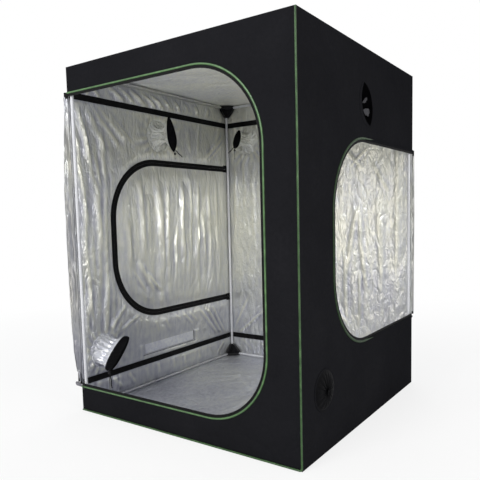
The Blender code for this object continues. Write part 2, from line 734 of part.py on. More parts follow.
def door_mesh(doorway, first, columns, height, calm_reach):
    """A D-shaped door of folded cloth, drawn closed in its doorway and flat as far as calm_reach from its hinge."""
    def fold(s, z):
        inside = doorway.depth_inside(s, z) - DOOR_EDGE_SETBACK
        calm = ramp((inside - FOLD_MARGIN) / FOLD_RAMP) * ramp((s - first - calm_reach) / FOLD_RAMP)
        hang = (doorway.head - z) / (doorway.head - doorway.sill)
        lean = DOOR_FOLD_LEAN * math.sin(math.pi * hang)
        wave = math.sin(math.tau * (s - first) / DOOR_FOLD_PITCH + lean)
        swing = DOOR_FOLD_HEAD_SHARE + (1 - DOOR_FOLD_HEAD_SHARE) * hang
        return height * calm * swing * wave

    bm = bmesh.new()
    outer = []
    inner = []
    for z, far in door_rows(doorway):
        near_edge = first
        margin = far - FOLD_MARGIN
        places = [near_edge] + [near_edge + (margin - near_edge) * i / columns for i in range(1, columns + 1)]
        places.append(far)
        outer.append([bm.verts.new(on_wall(doorway.wall, s, z, fold(s, z))) for s in places])
        inner.append([bm.verts.new(on_wall(doorway.wall, s, z, fold(s, z) - CLOTH)) for s in places])
    last_row = len(outer) - 1
    last = len(outer[0]) - 1
    for i in range(last_row):
        for j in range(last):
            bm.faces.new((outer[i][j], outer[i][j + 1], outer[i + 1][j + 1], outer[i + 1][j]))
            bm.faces.new((inner[i][j], inner[i + 1][j], inner[i + 1][j + 1], inner[i][j + 1]))
        bm.faces.new((outer[i][0], outer[i + 1][0], inner[i + 1][0], inner[i][0]))
        bm.faces.new((outer[i][last], inner[i][last], inner[i + 1][last], outer[i + 1][last]))
    for j in range(last):
        bm.faces.new((outer[0][j], inner[0][j], inner[0][j + 1], outer[0][j + 1]))
        bm.faces.new((outer[last_row][j], outer[last_row][j + 1], inner[last_row][j + 1], inner[last_row][j]))
    return mesh_from(bm, "door")


def build_door(name, doorway, joint, first, columns, height, calm_reach, cloth, webbing):
    mesh = door_mesh(doorway, first, columns, height, calm_reach)
    add_object(f"{name}_door", mesh, cloth, joint, smooth=True)
    edging = along_edge(doorway, binding_profile(-1), -DOOR_EDGE_SETBACK, first, "door_edging")
    add_object(f"{name}_door_tape", edging, webbing, joint)


def bulge_spine(bulge, panel_out):
    """Points (out, along) of cloth that leaves a corner, bows out round it and comes to rest on the open door."""
    half = CLOTH / 2
    start = INNER_EDGE + half + SEAM_GAP
    rest = panel_out + CLOTH / 2 + TAPE_THICKNESS + 2 * SEAM_GAP + half
    crest = max(bulge - half, rest + FOLD_CLEARANCE)
    spine = []
    for i in range(BULGE_STEPS):
        angle = math.pi / 2 * i / BULGE_STEPS
        out = SEAM_GAP + (crest - SEAM_GAP) * math.sin(angle)
        spine.append(Vector((out, start - BULGE_BOW * math.sin(2 * angle) + BULGE_CREST * (1 - math.cos(angle)))))
    for i in range(BULGE_STEPS + 2):
        share = i / (BULGE_STEPS + 1)
        along = start + BULGE_CREST + (FOLD_STRIP_LAP - BULGE_CREST) * share
        spine.append(Vector((crest + (rest - crest) * ramp(share), along)))
    return spine


def fold_strip(place, bulges, panel_out, low, high, name):
    """Cloth folded round a tent corner: place(out, along, z), out of the wall and back along it."""
    rings = []
    for k, bulge in enumerate(bulges):
        z = low + (high - low) * k / (len(bulges) - 1)
        spine = bulge_spine(bulge, panel_out)
        left = []
        right = []
        for i, point in enumerate(spine):
            before = spine[max(i - 1, 0)]
            after = spine[min(i + 1, len(spine) - 1)]
            heading = (after - before).normalized()
            if i == 0:
                heading = Vector((1.0, 0.0))
            side = Vector((-heading.y, heading.x)) * CLOTH / 2
            left.append(point + side)
            right.append(point - side)
        rings.append([place(p.x, p.y, z) for p in left + list(reversed(right))])
    return skin_rings(rings, name=name)


def front_bulges():
    """How far the front door's fold bows out, from the sill up to the head."""
    bulges = []
    for k in range(FOLD_ROWS + 1):
        share = max(math.sin(math.pi * k / FOLD_ROWS), 0.0) ** BULGE_FULLNESS
        bulges.append(FRONT_BULGE_ENDS + (FRONT_BULGE_MIDDLE - FRONT_BULGE_ENDS) * share)
    return bulges


def build_doors(silver, webbing):
    front_axis = (-HALF_WIDTH - FRONT_STANDOFF, -HALF_DEPTH - FRONT_STANDOFF, 0.0)
    joint = add_joint("front_door_axis", front_axis, math.pi / 2)
    build_door("front", FRONT_DOORWAY, joint, DOOR_CORNER_INSET, FRONT_DOOR_COLUMNS, DOOR_FOLD_HEIGHT,
               FOLD_STRIP_LAP, silver, webbing)
    right_axis = (HALF_WIDTH + RIGHT_STANDOFF, HALF_DEPTH + RIGHT_STANDOFF, 0.0)
    joint = add_joint("right_door_axis", right_axis, -math.pi / 2)
    build_door("right", RIGHT_DOORWAY, joint, DOOR_CORNER_INSET, RIGHT_DOOR_COLUMNS, DOOR_FOLD_HEIGHT,
               FOLD_STRIP_LAP, silver, webbing)
    left_axis = on_wall("left", LEFT_DOORWAY_HINGE + LEFT_AXIS_SETBACK, 0.0, -LEFT_AXIS_INSET)
    joint = add_joint("left_door_axis", left_axis)
    build_door("left", LEFT_DOORWAY, joint, LEFT_DOORWAY_HINGE + SEAM_GAP, LEFT_DOOR_COLUMNS, LEFT_FOLD_HEIGHT,
               LEFT_DOOR_CALM, silver, webbing)


def build_door_folds(silver):
    low = FRONT_DOORWAY.sill + DOOR_EDGE_SETBACK
    high = FRONT_DOORWAY.head - DOOR_EDGE_SETBACK
    strip = fold_strip(lambda out, along, z: (-HALF_WIDTH - out, along - HALF_DEPTH, z),
                       front_bulges(), 2 * FRONT_STANDOFF + CLOTH / 2, low, high, "front_fold")
    add_object("front_door_fold", strip, silver, smooth=True)
    low = RIGHT_DOORWAY.sill + DOOR_EDGE_SETBACK
    high = RIGHT_DOORWAY.head - DOOR_EDGE_SETBACK
    bulges = [RIGHT_BULGE] * (FOLD_ROWS // 2 + 1)
    strip = fold_strip(lambda out, along, z: (HALF_WIDTH - along, HALF_DEPTH + out, z),
                       bulges, 2 * RIGHT_STANDOFF + CLOTH / 2, low, high, "right_fold")
    add_object("right_door_fold", strip, silver, smooth=True)


# Duct sleeves, drawcords and locks

def sleeve_mesh(port):
    """One body for both sleeves of a port: drawn together outside, pressed flat at its hem inside."""
    neck = PORT_RADIUS - SEAM_GAP
    rim = PORT_RADIUS + PORT_FLANGE
    rings = []
    for reach_share, neck_share, droop_share, pleat in OUTER_SLEEVE_SHARES:
        radius = MOUTH_RADIUS + (neck - MOUTH_RADIUS) * neck_share
        rings.append(sleeve_ring(port, port.reach * reach_share, radius, radius, pleat, port.droop * droop_share))
    for h, radius in ((PORT_FLANGE_HEIGHT, rim), (SEAM_GAP, rim), (SEAM_GAP, neck), (-INNER_EDGE, neck)):
        rings.append(sleeve_ring(port, h, radius, radius))
    for reach_share, long_share, thin_share, pleat in INNER_SLEEVE_SHARES:
        long_half = neck + (port.hem_half - neck) * long_share
        short_half = neck + (HEM_ROOT_HALF_THICKNESS - neck) * thin_share
        depth = -SLEEVE_INSIDE_REACH * reach_share
        rings.append(sleeve_ring(port, depth, long_half, short_half, pleat, 0.0, port.lean))
    root = HEM_WIDTH - SLEEVE_INSIDE_REACH
    rings.append(sleeve_ring(port, root + SEAM_GAP, port.hem_half - HEM_STEP, HEM_ROOT_HALF_THICKNESS - HEM_STEP,
                             HEM_PLEAT_SHARE, 0.0, port.lean))
    rings.append(sleeve_ring(port, root, port.hem_half, HEM_ROOT_HALF_THICKNESS, 0.0, 0.0, port.lean))
    rings.append(sleeve_ring(port, -SLEEVE_INSIDE_REACH, port.hem_half, HEM_LIP_HALF_THICKNESS, 0.0, 0.0, port.lean))
    return skin_rings(rings, name="sleeve")


def build_ducts(cloth, cord, plastic):
    for name, port in PORTS.items():
        add_object(f"duct_sleeve_{name}", sleeve_mesh(port), cloth, smooth=True)
    bore = CORD_DIAMETER / 2 + LOCK_BORE_CLEARANCE
    shoulder = LOCK_RADIUS * LOCK_SHOULDER_SHARE
    profile = [(0.0, bore), (0.0, shoulder), (LOCK_BEVEL, LOCK_RADIUS), (LOCK_HEIGHT - LOCK_BEVEL, LOCK_RADIUS),
               (LOCK_HEIGHT, shoulder), (LOCK_HEIGHT, bore)]
    for name, tail in CORD_TAILS.items():
        top = hem_tip(PORTS[name]) - Vector((0, 0, SEAM_GAP))
        route = [top - Vector((0, 0, tail * i / CORD_POINTS)) for i in range(CORD_POINTS + 1)]
        add_cord(f"drawcord_{name}", route, CORD_DIAMETER / 2, cord)
        foot = top - Vector((0, 0, LOCK_DROP + LOCK_HEIGHT))
        joint = add_joint(f"cord_lock_axis_{name}", foot)
        add_object(f"cord_lock_{name}", turned_ring(profile, foot, (0, 0, 1), LOCK_SIDES, "lock"), plastic, joint,
                   smooth=True)


# Vent flap and zip sliders

def build_vent_flap(silver):
    face = -INNER_EDGE
    joint = add_joint("vent_flap_axis", on_wall("left", FLAP_START, FLAP_TOP, face - FLAP_THICKNESS - SEAM_GAP))
    outline = [(FLAP_START, FLAP_TOP - FLAP_HEIGHT), (FLAP_START + FLAP_LENGTH, FLAP_TOP - FLAP_HEIGHT),
               (FLAP_START + FLAP_LENGTH, FLAP_TOP), (FLAP_START, FLAP_TOP)]
    flap = prism(outline, [], lambda s, z, h: on_wall("left", s, z, h), face - FLAP_THICKNESS, face, "flap")
    add_object("vent_flap", flap, silver, joint)


def slider_mesh(wall, s, z):
    """A zip slider with its pull, cut from one side view that is as wide as the slider."""
    half = SLIDER_WIDTH / 2
    top = SLIDER_HEIGHT
    under = top + PULL_RAISE
    over = under + PULL_THICKNESS
    neck = SLIDER_BRIDGE / 2
    side = [(-half, 0.0), (half, 0.0), (half, top), (neck, top), (neck, over), (-PULL_LENGTH, over),
            (-PULL_LENGTH, under), (-neck, under), (-neck, top), (-half, top)]
    base = TAPE_THICKNESS + 2 * SEAM_GAP
    return prism(side, [], lambda v, h, u: on_wall(wall, s + u, z + v, base + h),
                 -SLIDER_LENGTH / 2, SLIDER_LENGTH / 2, "slider")


def build_sliders(steel):
    across = (TAPE_OUTSIDE_WIDTH - SEAM_GAP) / 2
    for name, doorway, level in (
        ("front", FRONT_DOORWAY, FRONT_DOORWAY.sill - across),
        ("right", RIGHT_DOORWAY, RIGHT_DOORWAY.sill - across),
        ("left", LEFT_DOORWAY, LEFT_DOORWAY.head + across),
    ):
        s = doorway.hinge + SLIDER_PARK
        joint = add_joint(f"{name}_slider_axis", on_wall(doorway.wall, s, level, 0.0))
        add_object(f"{name}_zip_slider", slider_mesh(doorway.wall, s, level), steel, joint)


def main():
    clear_scene()
    black = make_material("black_cloth", (0.02, 0.02, 0.023), 0.75)
    silver = make_material("silver_lining", (0.55, 0.56, 0.54), 0.3, 0.6)
    webbing = make_material("black_webbing", (0.008, 0.008, 0.009), 0.8)
    green = make_material("green_piping", (0.16, 0.38, 0.12), 0.5)
    steel = make_material("white_pole", (0.75, 0.78, 0.82), 0.35)
    plastic = make_material("black_plastic", (0.01, 0.01, 0.012), 0.5)
    satin = make_material("sleeve_satin", (0.03, 0.03, 0.035), 0.4)
    cord = make_material("black_cord", (0.01, 0.01, 0.01), 0.8)
    metal = make_material("zip_metal", (0.1, 0.1, 0.11), 0.4, 0.8)
    build_frame(plastic, steel)
    build_roof_bar(steel)
    build_cover(black, silver)
    build_bands(webbing)
    build_edgings(webbing, green)
    build_front_piping(green)
    build_doors(silver, webbing)
    build_door_folds(silver)
    build_ducts(satin, cord, plastic)
    build_vent_flap(silver)
    build_sliders(metal)


main()
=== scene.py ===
"""The looks of the indoor grow tent: cloth, foil, tapes, poles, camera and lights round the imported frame."""

import math
from dataclasses import dataclass

import bpy
import numpy as np
from mathutils import Matrix, Vector


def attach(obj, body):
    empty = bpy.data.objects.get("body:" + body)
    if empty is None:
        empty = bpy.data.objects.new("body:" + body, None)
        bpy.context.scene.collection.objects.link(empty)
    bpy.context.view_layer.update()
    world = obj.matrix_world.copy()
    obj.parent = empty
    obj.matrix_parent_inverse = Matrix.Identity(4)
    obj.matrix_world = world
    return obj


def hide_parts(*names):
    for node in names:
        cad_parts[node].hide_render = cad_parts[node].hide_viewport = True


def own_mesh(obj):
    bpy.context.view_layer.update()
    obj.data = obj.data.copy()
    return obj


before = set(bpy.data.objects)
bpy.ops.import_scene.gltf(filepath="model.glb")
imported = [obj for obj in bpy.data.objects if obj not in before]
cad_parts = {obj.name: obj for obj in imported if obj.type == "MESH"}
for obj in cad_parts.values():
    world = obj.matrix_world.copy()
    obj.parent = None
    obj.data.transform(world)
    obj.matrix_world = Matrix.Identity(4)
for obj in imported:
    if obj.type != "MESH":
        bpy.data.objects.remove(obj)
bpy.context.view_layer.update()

# Camera, fitted to the photograph
CAMERA_PLACE = (1.88695, -2.76159, 1.14454)
CAMERA_YAW = 0.60198
CAMERA_PITCH = -0.089924
CAMERA_ROLL = -0.0224368
CAMERA_LENS = 40.4518
CAMERA_SENSOR = 36.0
CAMERA_SHIFT = (-0.025625, 0.048208)

# Sizes repeated from the part's source; SOCKET_LENGTH and GUSSET_LENGTH alone are longer here
HALF = 0.75
TENT_HEIGHT = 2.0
CLOTH = 0.003
SEAM_GAP = 0.0003
INNER_EDGE = CLOTH + SEAM_GAP
POLE_RADIUS = 0.0095
POLE_WALL = 0.0015
SOCKET_BORE = 0.0098
SOCKET_RADIUS = 0.013
SOCKET_LENGTH = 0.074
SOCKET_STOP = 0.018
CORE_HALF = 0.0144
CORE_BEVEL = 0.003
SOCKET_LIP = 0.0012
GUSSET_LENGTH = 0.07
FRAME_SIDE = 0.7323
FLOOR_RAIL_LEVEL = 0.0177
ROOF_RAIL_LEVEL = 1.9823
ROOF_BAR_RADIUS = 0.008
ROOF_BAR_WALL = 0.0012
ROOF_BAR_LEVEL = 1.9573
HOOK_STRIP = 0.0018
HOOK_WIDTH = 0.018
HOOK_TAIL = 0.006
TAPE = 0.0012
TAPE_OUTSIDE = 0.0105
TRIM_INSIDE = 0.019
DOOR_SETBACK = 0.005
PIPING_WIDTH = 0.012
PIPING_HEIGHT = 0.0045
BAND_HEIGHT = 0.038
BAND_LEVELS = {"upper": 1.848, "lower": 0.167}
BAND_FRONT_GAP = 0.004
FRONT_STANDOFF = 0.018
RIGHT_STANDOFF = 0.014
DOOR_INSET = 0.005
FOLD_LAP = 0.1
FOLD_BOW = 0.012
FOLD_CREST = 0.006
CORNER_PIPING_RADIUS = 0.0045
CORNER_PIPING_BEND = 0.012
PORT_RADIUS = 0.095
PORT_RIM = PORT_RADIUS + 0.008
MOUTH_RADIUS = 0.016
SLEEVE_INSIDE = 0.162
HEM_WIDTH = 0.05
HEM_ROOT_HALF = 0.0195
HEM_LIP_HALF = 0.0105
CORD_DIAMETER = 0.003
LOCK_RADIUS = 0.007
LOCK_HEIGHT = 0.014
LOCK_DROP = 0.006
LOCK_BORE = 0.0019
SLIDER_PARK = 0.022
VENT_SPAN = (0.482, 0.978)
VENT_RISE = (0.225, 0.287)
FLAP_THICKNESS = 0.0015
MAT_HALF = 0.7149
MAT_THICKNESS = 0.0015

# How finely cloth and round shapes are cut
CLOTH_STEP = 0.0105
EDGE_STEP = 0.02
ARC_STEPS = 20
SNAP_SHARE = 0.6
THIN_SHARE = 0.02
NOISE_CELLS = 64
POLE_SIDES = 32
SLEEVE_SIDES = 96
SHARP_ANGLE = math.radians(38)

# Where the lining is held flat, and over what width it comes loose
POST_GRIP = 0.022
RAIL_GRIP = 0.036
BAND_GRIP = 0.034
HOLD_EASE = 0.05

# Painted shade and highlight of folds: how far round a point its level is taken, and the height of a full fold
FOLD_SHADE_REACH = 0.022
FOLD_SHADE_HEIGHT = 0.004

# How the names of corners and rails give their signs
SIDES = (("left", -1), ("right", 1))
ENDS = (("front", -1), ("rear", 1))


# Shapes

def ramp(value):
    """Smooth step from 0 to 1."""
    t = np.clip(value, 0.0, 1.0)
    return t * t * (3 - 2 * t)


def signed_volume(points, faces):
    """Six times the volume inside the faces, below 0 where they look inward."""
    total = 0.0
    for count in {len(face) for face in faces}:
        corners = points[np.array([face for face in faces if len(face) == count])]
        for k in range(1, count - 1):
            total += np.einsum("ij,ij->i", corners[:, 0], np.cross(corners[:, k], corners[:, k + 1])).sum()
    return total


def facing_out(points, faces):
    """The faces, turned over where they look inward."""
    return [face[::-1] for face in faces] if signed_volume(points, faces) < 0 else faces


def add_object(name, data):
    """An object of the scene, round its mesh, curve, camera or light."""
    made = bpy.data.objects.new(name, data)
    bpy.context.scene.collection.objects.link(made)
    return made


def add_piece(name, points, faces, materials, slot, body="root", replaces=(), indices=None, smooth=True, folds=None):
    """A mesh piece with its faces turned outward, which rides a body and may stand for CAD nodes."""
    points = np.asarray(points, float).reshape(-1, 3)
    faces = facing_out(points, [list(face) for face in faces])
    mesh = bpy.data.meshes.new(name)
    mesh.from_pydata(points.tolist(), [], faces)
    for material in materials:
        mesh.materials.append(material)
    if indices is not None:
        mesh.polygons.foreach_set("material_index", np.asarray(indices, dtype=np.int32))
    if smooth:
        mesh.shade_smooth()
        mesh.set_sharp_from_angle(angle=SHARP_ANGLE)
    if folds is not None:
        # The fold attribute holds painted shade in the cloth's hollows and painted highlight on its crests
        mesh.attributes.new("fold", "FLOAT", "POINT").data.foreach_set("value", np.asarray(folds, dtype=np.float32))
    mesh.update()
    piece = add_object(name, mesh)
    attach(piece, body)
    if replaces:
        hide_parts(*replaces)
    return piece


def ring_faces(rings, around, looped=False, caps=True):
    """Faces that join rings of equal length, and close their ends."""
    faces = []
    last = rings if looped else rings - 1
    for k in range(last):
        low, high = k * around, (k + 1) % rings * around
        for i in range(around):
            j = (i + 1) % around
            faces.append([low + i, low + j, high + j, high + i])
    if caps and not looped:
        faces.append(list(range(around))[::-1])
        faces.append(list(range((rings - 1) * around, rings * around)))
    return faces


def skin(rings, looped=False, caps=True):
    """Points and faces of the surface that joins the rings."""
    rings = np.asarray(rings, float)
    return rings.reshape(-1, 3), ring_faces(len(rings), rings.shape[1], looped, caps)


def merge(*parts):
    """Several (points, faces) as one."""
    points, faces, first = [], [], 0
    for part_points, part_faces in parts:
        part_points = np.asarray(part_points, float).reshape(-1, 3)
        points.append(part_points)
        faces += [[first + i for i in face] for face in part_faces]
        first += len(part_points)
    return np.vstack(points), faces


def merge_solids(parts):
    """Several closed solids as one, each with its faces turned outward."""
    return merge(*((points, facing_out(points, faces)) for points, faces in parts))


def plate_faces(shape):
    """Faces of a closed plate: a grid of points, the same grid again under it, and the border that joins them."""
    index = np.arange(shape[0] * shape[1]).reshape(shape)
    quads = np.stack((index[:-1, :-1], index[1:, :-1], index[1:, 1:], index[:-1, 1:]), -1).reshape(-1, 4)
    border = np.concatenate((index[:, 0], index[-1, 1:], index[-2::-1, -1], index[0, -2:0:-1]))
    ahead = np.roll(border, -1)
    rim = np.stack((ahead, border, border + index.size, ahead + index.size), -1)
    return quads.tolist() + (quads[:, ::-1] + index.size).tolist() + rim.tolist()


def blunt(value, power):
    """A sine or cosine raised to a power with its sign kept, which turns a circle into a rounded square."""
    return math.copysign(abs(value) ** power, value)


def lathe(profile, start, direction, sides=POLE_SIDES):
    """A closed profile of (along, radius) points turned round an axis."""
    turn = np.array(Vector((0, 0, 1)).rotation_difference(Vector(direction)).to_matrix())
    angles = np.arange(sides) * math.tau / sides
    rings = []
    for angle in angles:
        local = [(radius * math.cos(angle), radius * math.sin(angle), along) for along, radius in profile]
        rings.append(np.array(local) @ turn.T + np.array(start))
    return skin(rings, looped=True)


def tube(route, radius, sides=12, closed=False):
    """A round tube along a route of points."""
    return skin(tube_rings(route, radius, sides, closed), looped=closed)


def tube_rings(route, radius, sides, closed=False):
    """Rings round a route that turn as little as they can from one to the next."""
    route = np.asarray(route, float)
    if closed:
        ahead = np.roll(route, -1, axis=0) - np.roll(route, 1, axis=0)
    else:
        ahead = np.gradient(route, axis=0)
    ahead /= np.linalg.norm(ahead, axis=1)[:, None]
    side = np.cross(ahead[0], (0.31, 0.52, 0.79))
    rings = []
    for place, heading in zip(route, ahead):
        side = side - heading * (side @ heading)
        side /= np.linalg.norm(side)
        other = np.cross(heading, side)
        angles = np.arange(sides) * math.tau / sides
        rings.append(place + radius * (np.outer(np.cos(angles), side) + np.outer(np.sin(angles), other)))
    return rings


# Walls and doorways: s runs along a wall from its door's corner, z is up and h is out of the cloth

def on_wall(wall, s, z, h):
    """Points in the tent's frame."""
    s, z, h = np.broadcast_arrays(np.asarray(s, float), z, h)
    x, y, up = {
        "front": (s - HALF, -HALF - h, z),
        "rear": (s - HALF, HALF + h, z),
        "left": (-HALF - h, HALF - s, z),
        "right": (HALF + h, HALF - s, z),
        "roof": (s - HALF, z - HALF, TENT_HEIGHT + h),
        "floor": (s - HALF, z - HALF, -h),
    }[wall]
    return np.stack((x, y, up), -1)


def wall_place(wall):
    """The place of (s, z, h) on one wall, as a function."""
    return lambda s, z, h: on_wall(wall, s, z, h)


class Doorway:
    """A D-shaped doorway: straight on its hinge side, with two rounded corners on the other."""

    def __init__(self, wall, hinge, reach, sill, head, sill_radius, head_radius):
        self.wall = wall
        self.hinge = hinge
        self.reach = reach
        self.sill = sill
        self.head = head
        self.corners = ((sill + sill_radius, sill_radius, -1), (head - head_radius, head_radius, 1))

    def edge(self, offset=0.0, first=None):
        """Points (s, z) and outward directions along the D, moved out by offset."""
        first = self.hinge if first is None else first
        stations = []

        def straight(start, end, along, up):
            count = max(1, round(math.dist(start, end) / EDGE_STEP))
            for i in range(count):
                share = i / count
                stations.append((start[0] + (end[0] - start[0]) * share, start[1] + (end[1] - start[1]) * share,
                                 along, up))

        (low, low_radius, _), (high, high_radius, _) = self.corners
        straight((first, self.sill - offset), (self.reach - low_radius, self.sill - offset), 0.0, -1.0)
        for level, radius, begin in ((low, low_radius, -math.pi / 2), (high, high_radius, 0.0)):
            for i in range(ARC_STEPS):
                angle = begin + math.pi / 2 * i / ARC_STEPS
                along, up = math.cos(angle), math.sin(angle)
                stations.append((self.reach - radius + (radius + offset) * along, level + (radius + offset) * up,
                                 along, up))
            if begin < 0:
                straight((self.reach + offset, low), (self.reach + offset, high), 1.0, 0.0)
        straight((self.reach - high_radius, self.head + offset), (first, self.head + offset), 0.0, 1.0)
        stations.append((first, self.head + offset, 0.0, 1.0))
        return np.array(stations)

    def depth(self, s, z, hinged=True):
        """How far inside the doorway's edge a point lies, below 0 outside it; the hinge side can be left out."""
        nearest = np.minimum(np.minimum(self.reach - s, z - self.sill), self.head - z)
        for level, radius, sign in self.corners:
            centre = self.reach - radius
            corner = (s > centre) & (sign * (z - level) > 0)
            nearest = np.where(corner, np.minimum(nearest, radius - np.hypot(s - centre, z - level)), nearest)
        return np.minimum(nearest, s - self.hinge) if hinged and self.hinge else nearest


DOORWAYS = {
    "front": Doorway("front", 0.0, 1.308, 0.161, 1.84, 0.345, 0.385),
    "right": Doorway("right", 0.0, 1.15, 0.465, 1.513, 0.37, 0.37),
    "left": Doorway("left", 0.035, 1.207, 0.485, 1.51, 0.385, 0.385),
}


@dataclass
class Port:
    """A duct port: its wall and place, and how its two sleeves hang."""
    wall: str
    along: float
    level: float
    reach: float
    droop: float
    hem_half: float
    lean: float
    cord_tail: float = 0.0
    waist: float = 0.06
    blunt: float = 0.75
    hem_width: float = HEM_WIDTH
    slit: bool = False
    rough: float = 0.007

    def depth(self, s, z):
        """How far inside the port's edge a point lies, below 0 outside it."""
        return PORT_RADIUS - np.hypot(s - self.along, z - self.level)

    def hem_tip(self):
        """The lowest point of the inner hem, where a drawcord leaves it."""
        return on_wall(self.wall, self.along - self.hem_half * math.sin(self.lean),
                       self.level - self.hem_half * math.cos(self.lean), HEM_WIDTH / 2 - SLEEVE_INSIDE)


PORTS = {
    "left_upper": Port("left", 0.783, 1.69, 0.02, 0.006, 0.116, math.radians(10), 0.048, 0.045, 0.85, 0.056),
    "left_lower": Port("left", 1.325, 0.322, 0.02, 0.006, 0.12, math.radians(-43), 0.125, 0.088, 0.2, 0.070,
                       rough=0.002),
    "rear_upper": Port("rear", 0.2, 1.715, 0.03, 0.01, 0.07, math.radians(18), 0.08, 0.045, 0.6),
    "right_upper": Port("right", 0.75, 1.712, 0.0, 0.0, 0.11, 0.0, slit=True),
    "right_lower": Port("right", 1.28, 0.312, 0.02, 0.006, 0.11, math.radians(30)),
}


# Folds and creases

def noise(seed, u, v):
    """Smooth random values from -1 to 1 over a plane, with features one unit across."""
    table = np.random.default_rng(seed).uniform(-1, 1, (NOISE_CELLS, NOISE_CELLS))
    u, v = np.broadcast_arrays(np.asarray(u, float), np.asarray(v, float))
    iu, iv = np.floor(u).astype(int), np.floor(v).astype(int)
    fu, fv = ramp(u - iu), ramp(v - iv)
    iu, iv = iu % NOISE_CELLS, iv % NOISE_CELLS
    ju, jv = (iu + 1) % NOISE_CELLS, (iv + 1) % NOISE_CELLS
    low = table[iu, iv] * (1 - fu) + table[ju, iv] * fu
    high = table[iu, jv] * (1 - fu) + table[ju, jv] * fu
    return low * (1 - fv) + high * fv


def pleat(x, sharp=0.5):
    """Folds of period 1 that rise from 0 to 1, round or creased."""
    crease = 1 - 2 * np.abs(x - np.round(x))
    rounded = 0.5 + 0.5 * np.cos(math.tau * x)
    return sharp * crease + (1 - sharp) * rounded


def crumple(seed, s, z, size):
    """Flat facets between sharp creases, about one size across, from 0 to 1."""
    rng = np.random.default_rng(seed)
    total = 0.0
    for k in range(4):
        angle = rng.uniform(0, math.pi)
        a, b = math.cos(angle), math.sin(angle)
        along = (a * s + b * z) / size
        warp = 0.55 * noise(seed + 11 * k + 1, s / size / 1.7, z / size / 1.7)
        strength = 0.5 + 0.5 * noise(seed + 11 * k + 5, s / size / 2.3, z / size / 2.3)
        total = total + strength * pleat(along * rng.uniform(0.6, 1.0) + warp, 0.85)
    return total / 4


def drape(seed, s, z, pitch, lean=0.0, sharp=0.6, drift=0.5):
    """Long folds that hang down, wander and die out, from 0 to 1."""
    shifted = s + lean * z
    warp = drift * noise(seed, shifted / pitch / 2.2, z / pitch / 7)
    strength = 0.55 + 0.45 * noise(seed + 1, shifted / pitch / 1.3, z / pitch / 5)
    return strength * pleat(shifted / pitch + warp, sharp)


def fan(seed, s, z, apex, begin, end, count, reach, peak=0.3):
    """Creases that spread from a point between two directions in degrees, from 0 to 1."""
    ds, dz = s - apex[0], z - apex[1]
    away = np.hypot(ds, dz)
    angle = np.degrees(np.arctan2(dz, ds))
    place = (angle - begin) / (end - begin) * count
    inside = ramp(place / 0.8) * ramp((count - place) / 0.8)
    height = ramp(away / (reach * peak)) * ramp((reach - away) / (reach * (1 - peak)))
    wander = 0.3 * noise(seed, place * 0.7, away / reach * 3)
    strength = 0.6 + 0.4 * noise(seed + 1, place, away / reach * 1.5)
    return inside * height * strength * pleat(place + wander, 0.8)


def crease(s, z, start, end, width):
    """One ridge from a start to an end, from 0 to 1, which wanders and varies in its own way."""
    ds, dz = end[0] - start[0], end[1] - start[1]
    length = math.hypot(ds, dz)
    along = ((s - start[0]) * ds + (z - start[1]) * dz) / length
    across = ((s - start[0]) * dz - (z - start[1]) * ds) / length
    own = 7.3 * start[0] + 3.1 * start[1]
    across = across + 0.3 * width * noise(round(1000 * width) + 3, along / 0.15, own)
    ridge = np.clip(1 - np.abs(across) / width, 0, 1)
    ends = ramp(along / (0.25 * length)) * ramp((length - along) / (0.35 * length))
    return ridge * ends * (0.8 + 0.2 * noise(7, along / 0.09, own))


def vent_gap(s, z):
    """How far a point lies outside the vent."""
    return np.maximum(np.maximum(VENT_SPAN[0] - s, s - VENT_SPAN[1]), np.maximum(VENT_RISE[0] - z, z - VENT_RISE[1]))


def edge_gap(s, z, height=2 * HALF):
    """How far a point lies inside the edges of its wall, roof or floor."""
    return np.minimum(np.minimum(s, 2 * HALF - s), np.minimum(z, height - z))


def held_at_holes(calm, wall, s, z, doorway_grip, doorway_ease, port_grip, port_ease):
    """The calm, brought to 0 round the wall's doorway and ports."""
    for holes, grip, ease in ((DOORWAYS, doorway_grip, doorway_ease), (PORTS, port_grip, port_ease)):
        for hole in holes.values():
            if hole.wall == wall:
                calm = calm * ramp((-hole.depth(s, z) - grip) / ease)
    return calm


def wall_calm(wall, s, z):
    """How freely the lining may fold: 0 at the frame, the doorways and the ports, small behind the bands."""
    calm = ramp((s - POST_GRIP) / HOLD_EASE) * ramp((2 * HALF - POST_GRIP - s) / HOLD_EASE)
    calm = calm * ramp((z - RAIL_GRIP) / HOLD_EASE) * ramp((TENT_HEIGHT - RAIL_GRIP - z) / HOLD_EASE)
    calm = held_at_holes(calm, wall, s, z, TRIM_INSIDE, HOLD_EASE, 0.002, 0.02)
    if wall == "left":
        calm = calm * ramp((vent_gap(s, z) - 0.012) / np.where(z > VENT_RISE[1], 0.08, 0.02))
    if wall in ("left", "rear", "right"):
        for level in BAND_LEVELS.values():
            calm = calm * (1 - 0.8 * ramp((BAND_GRIP - np.abs(z - level)) / 0.015))
    return calm


def port_creases(wall, s, z):
    """Creases that spread from each port of a wall, where its sleeve is sewn in."""
    total = 0.0
    for k, port in enumerate(PORTS.values()):
        if port.wall == wall:
            total = total + fan(500 + k, s, z, (port.along, port.level), -180, 180, 17, 0.3, 0.42)
    return total


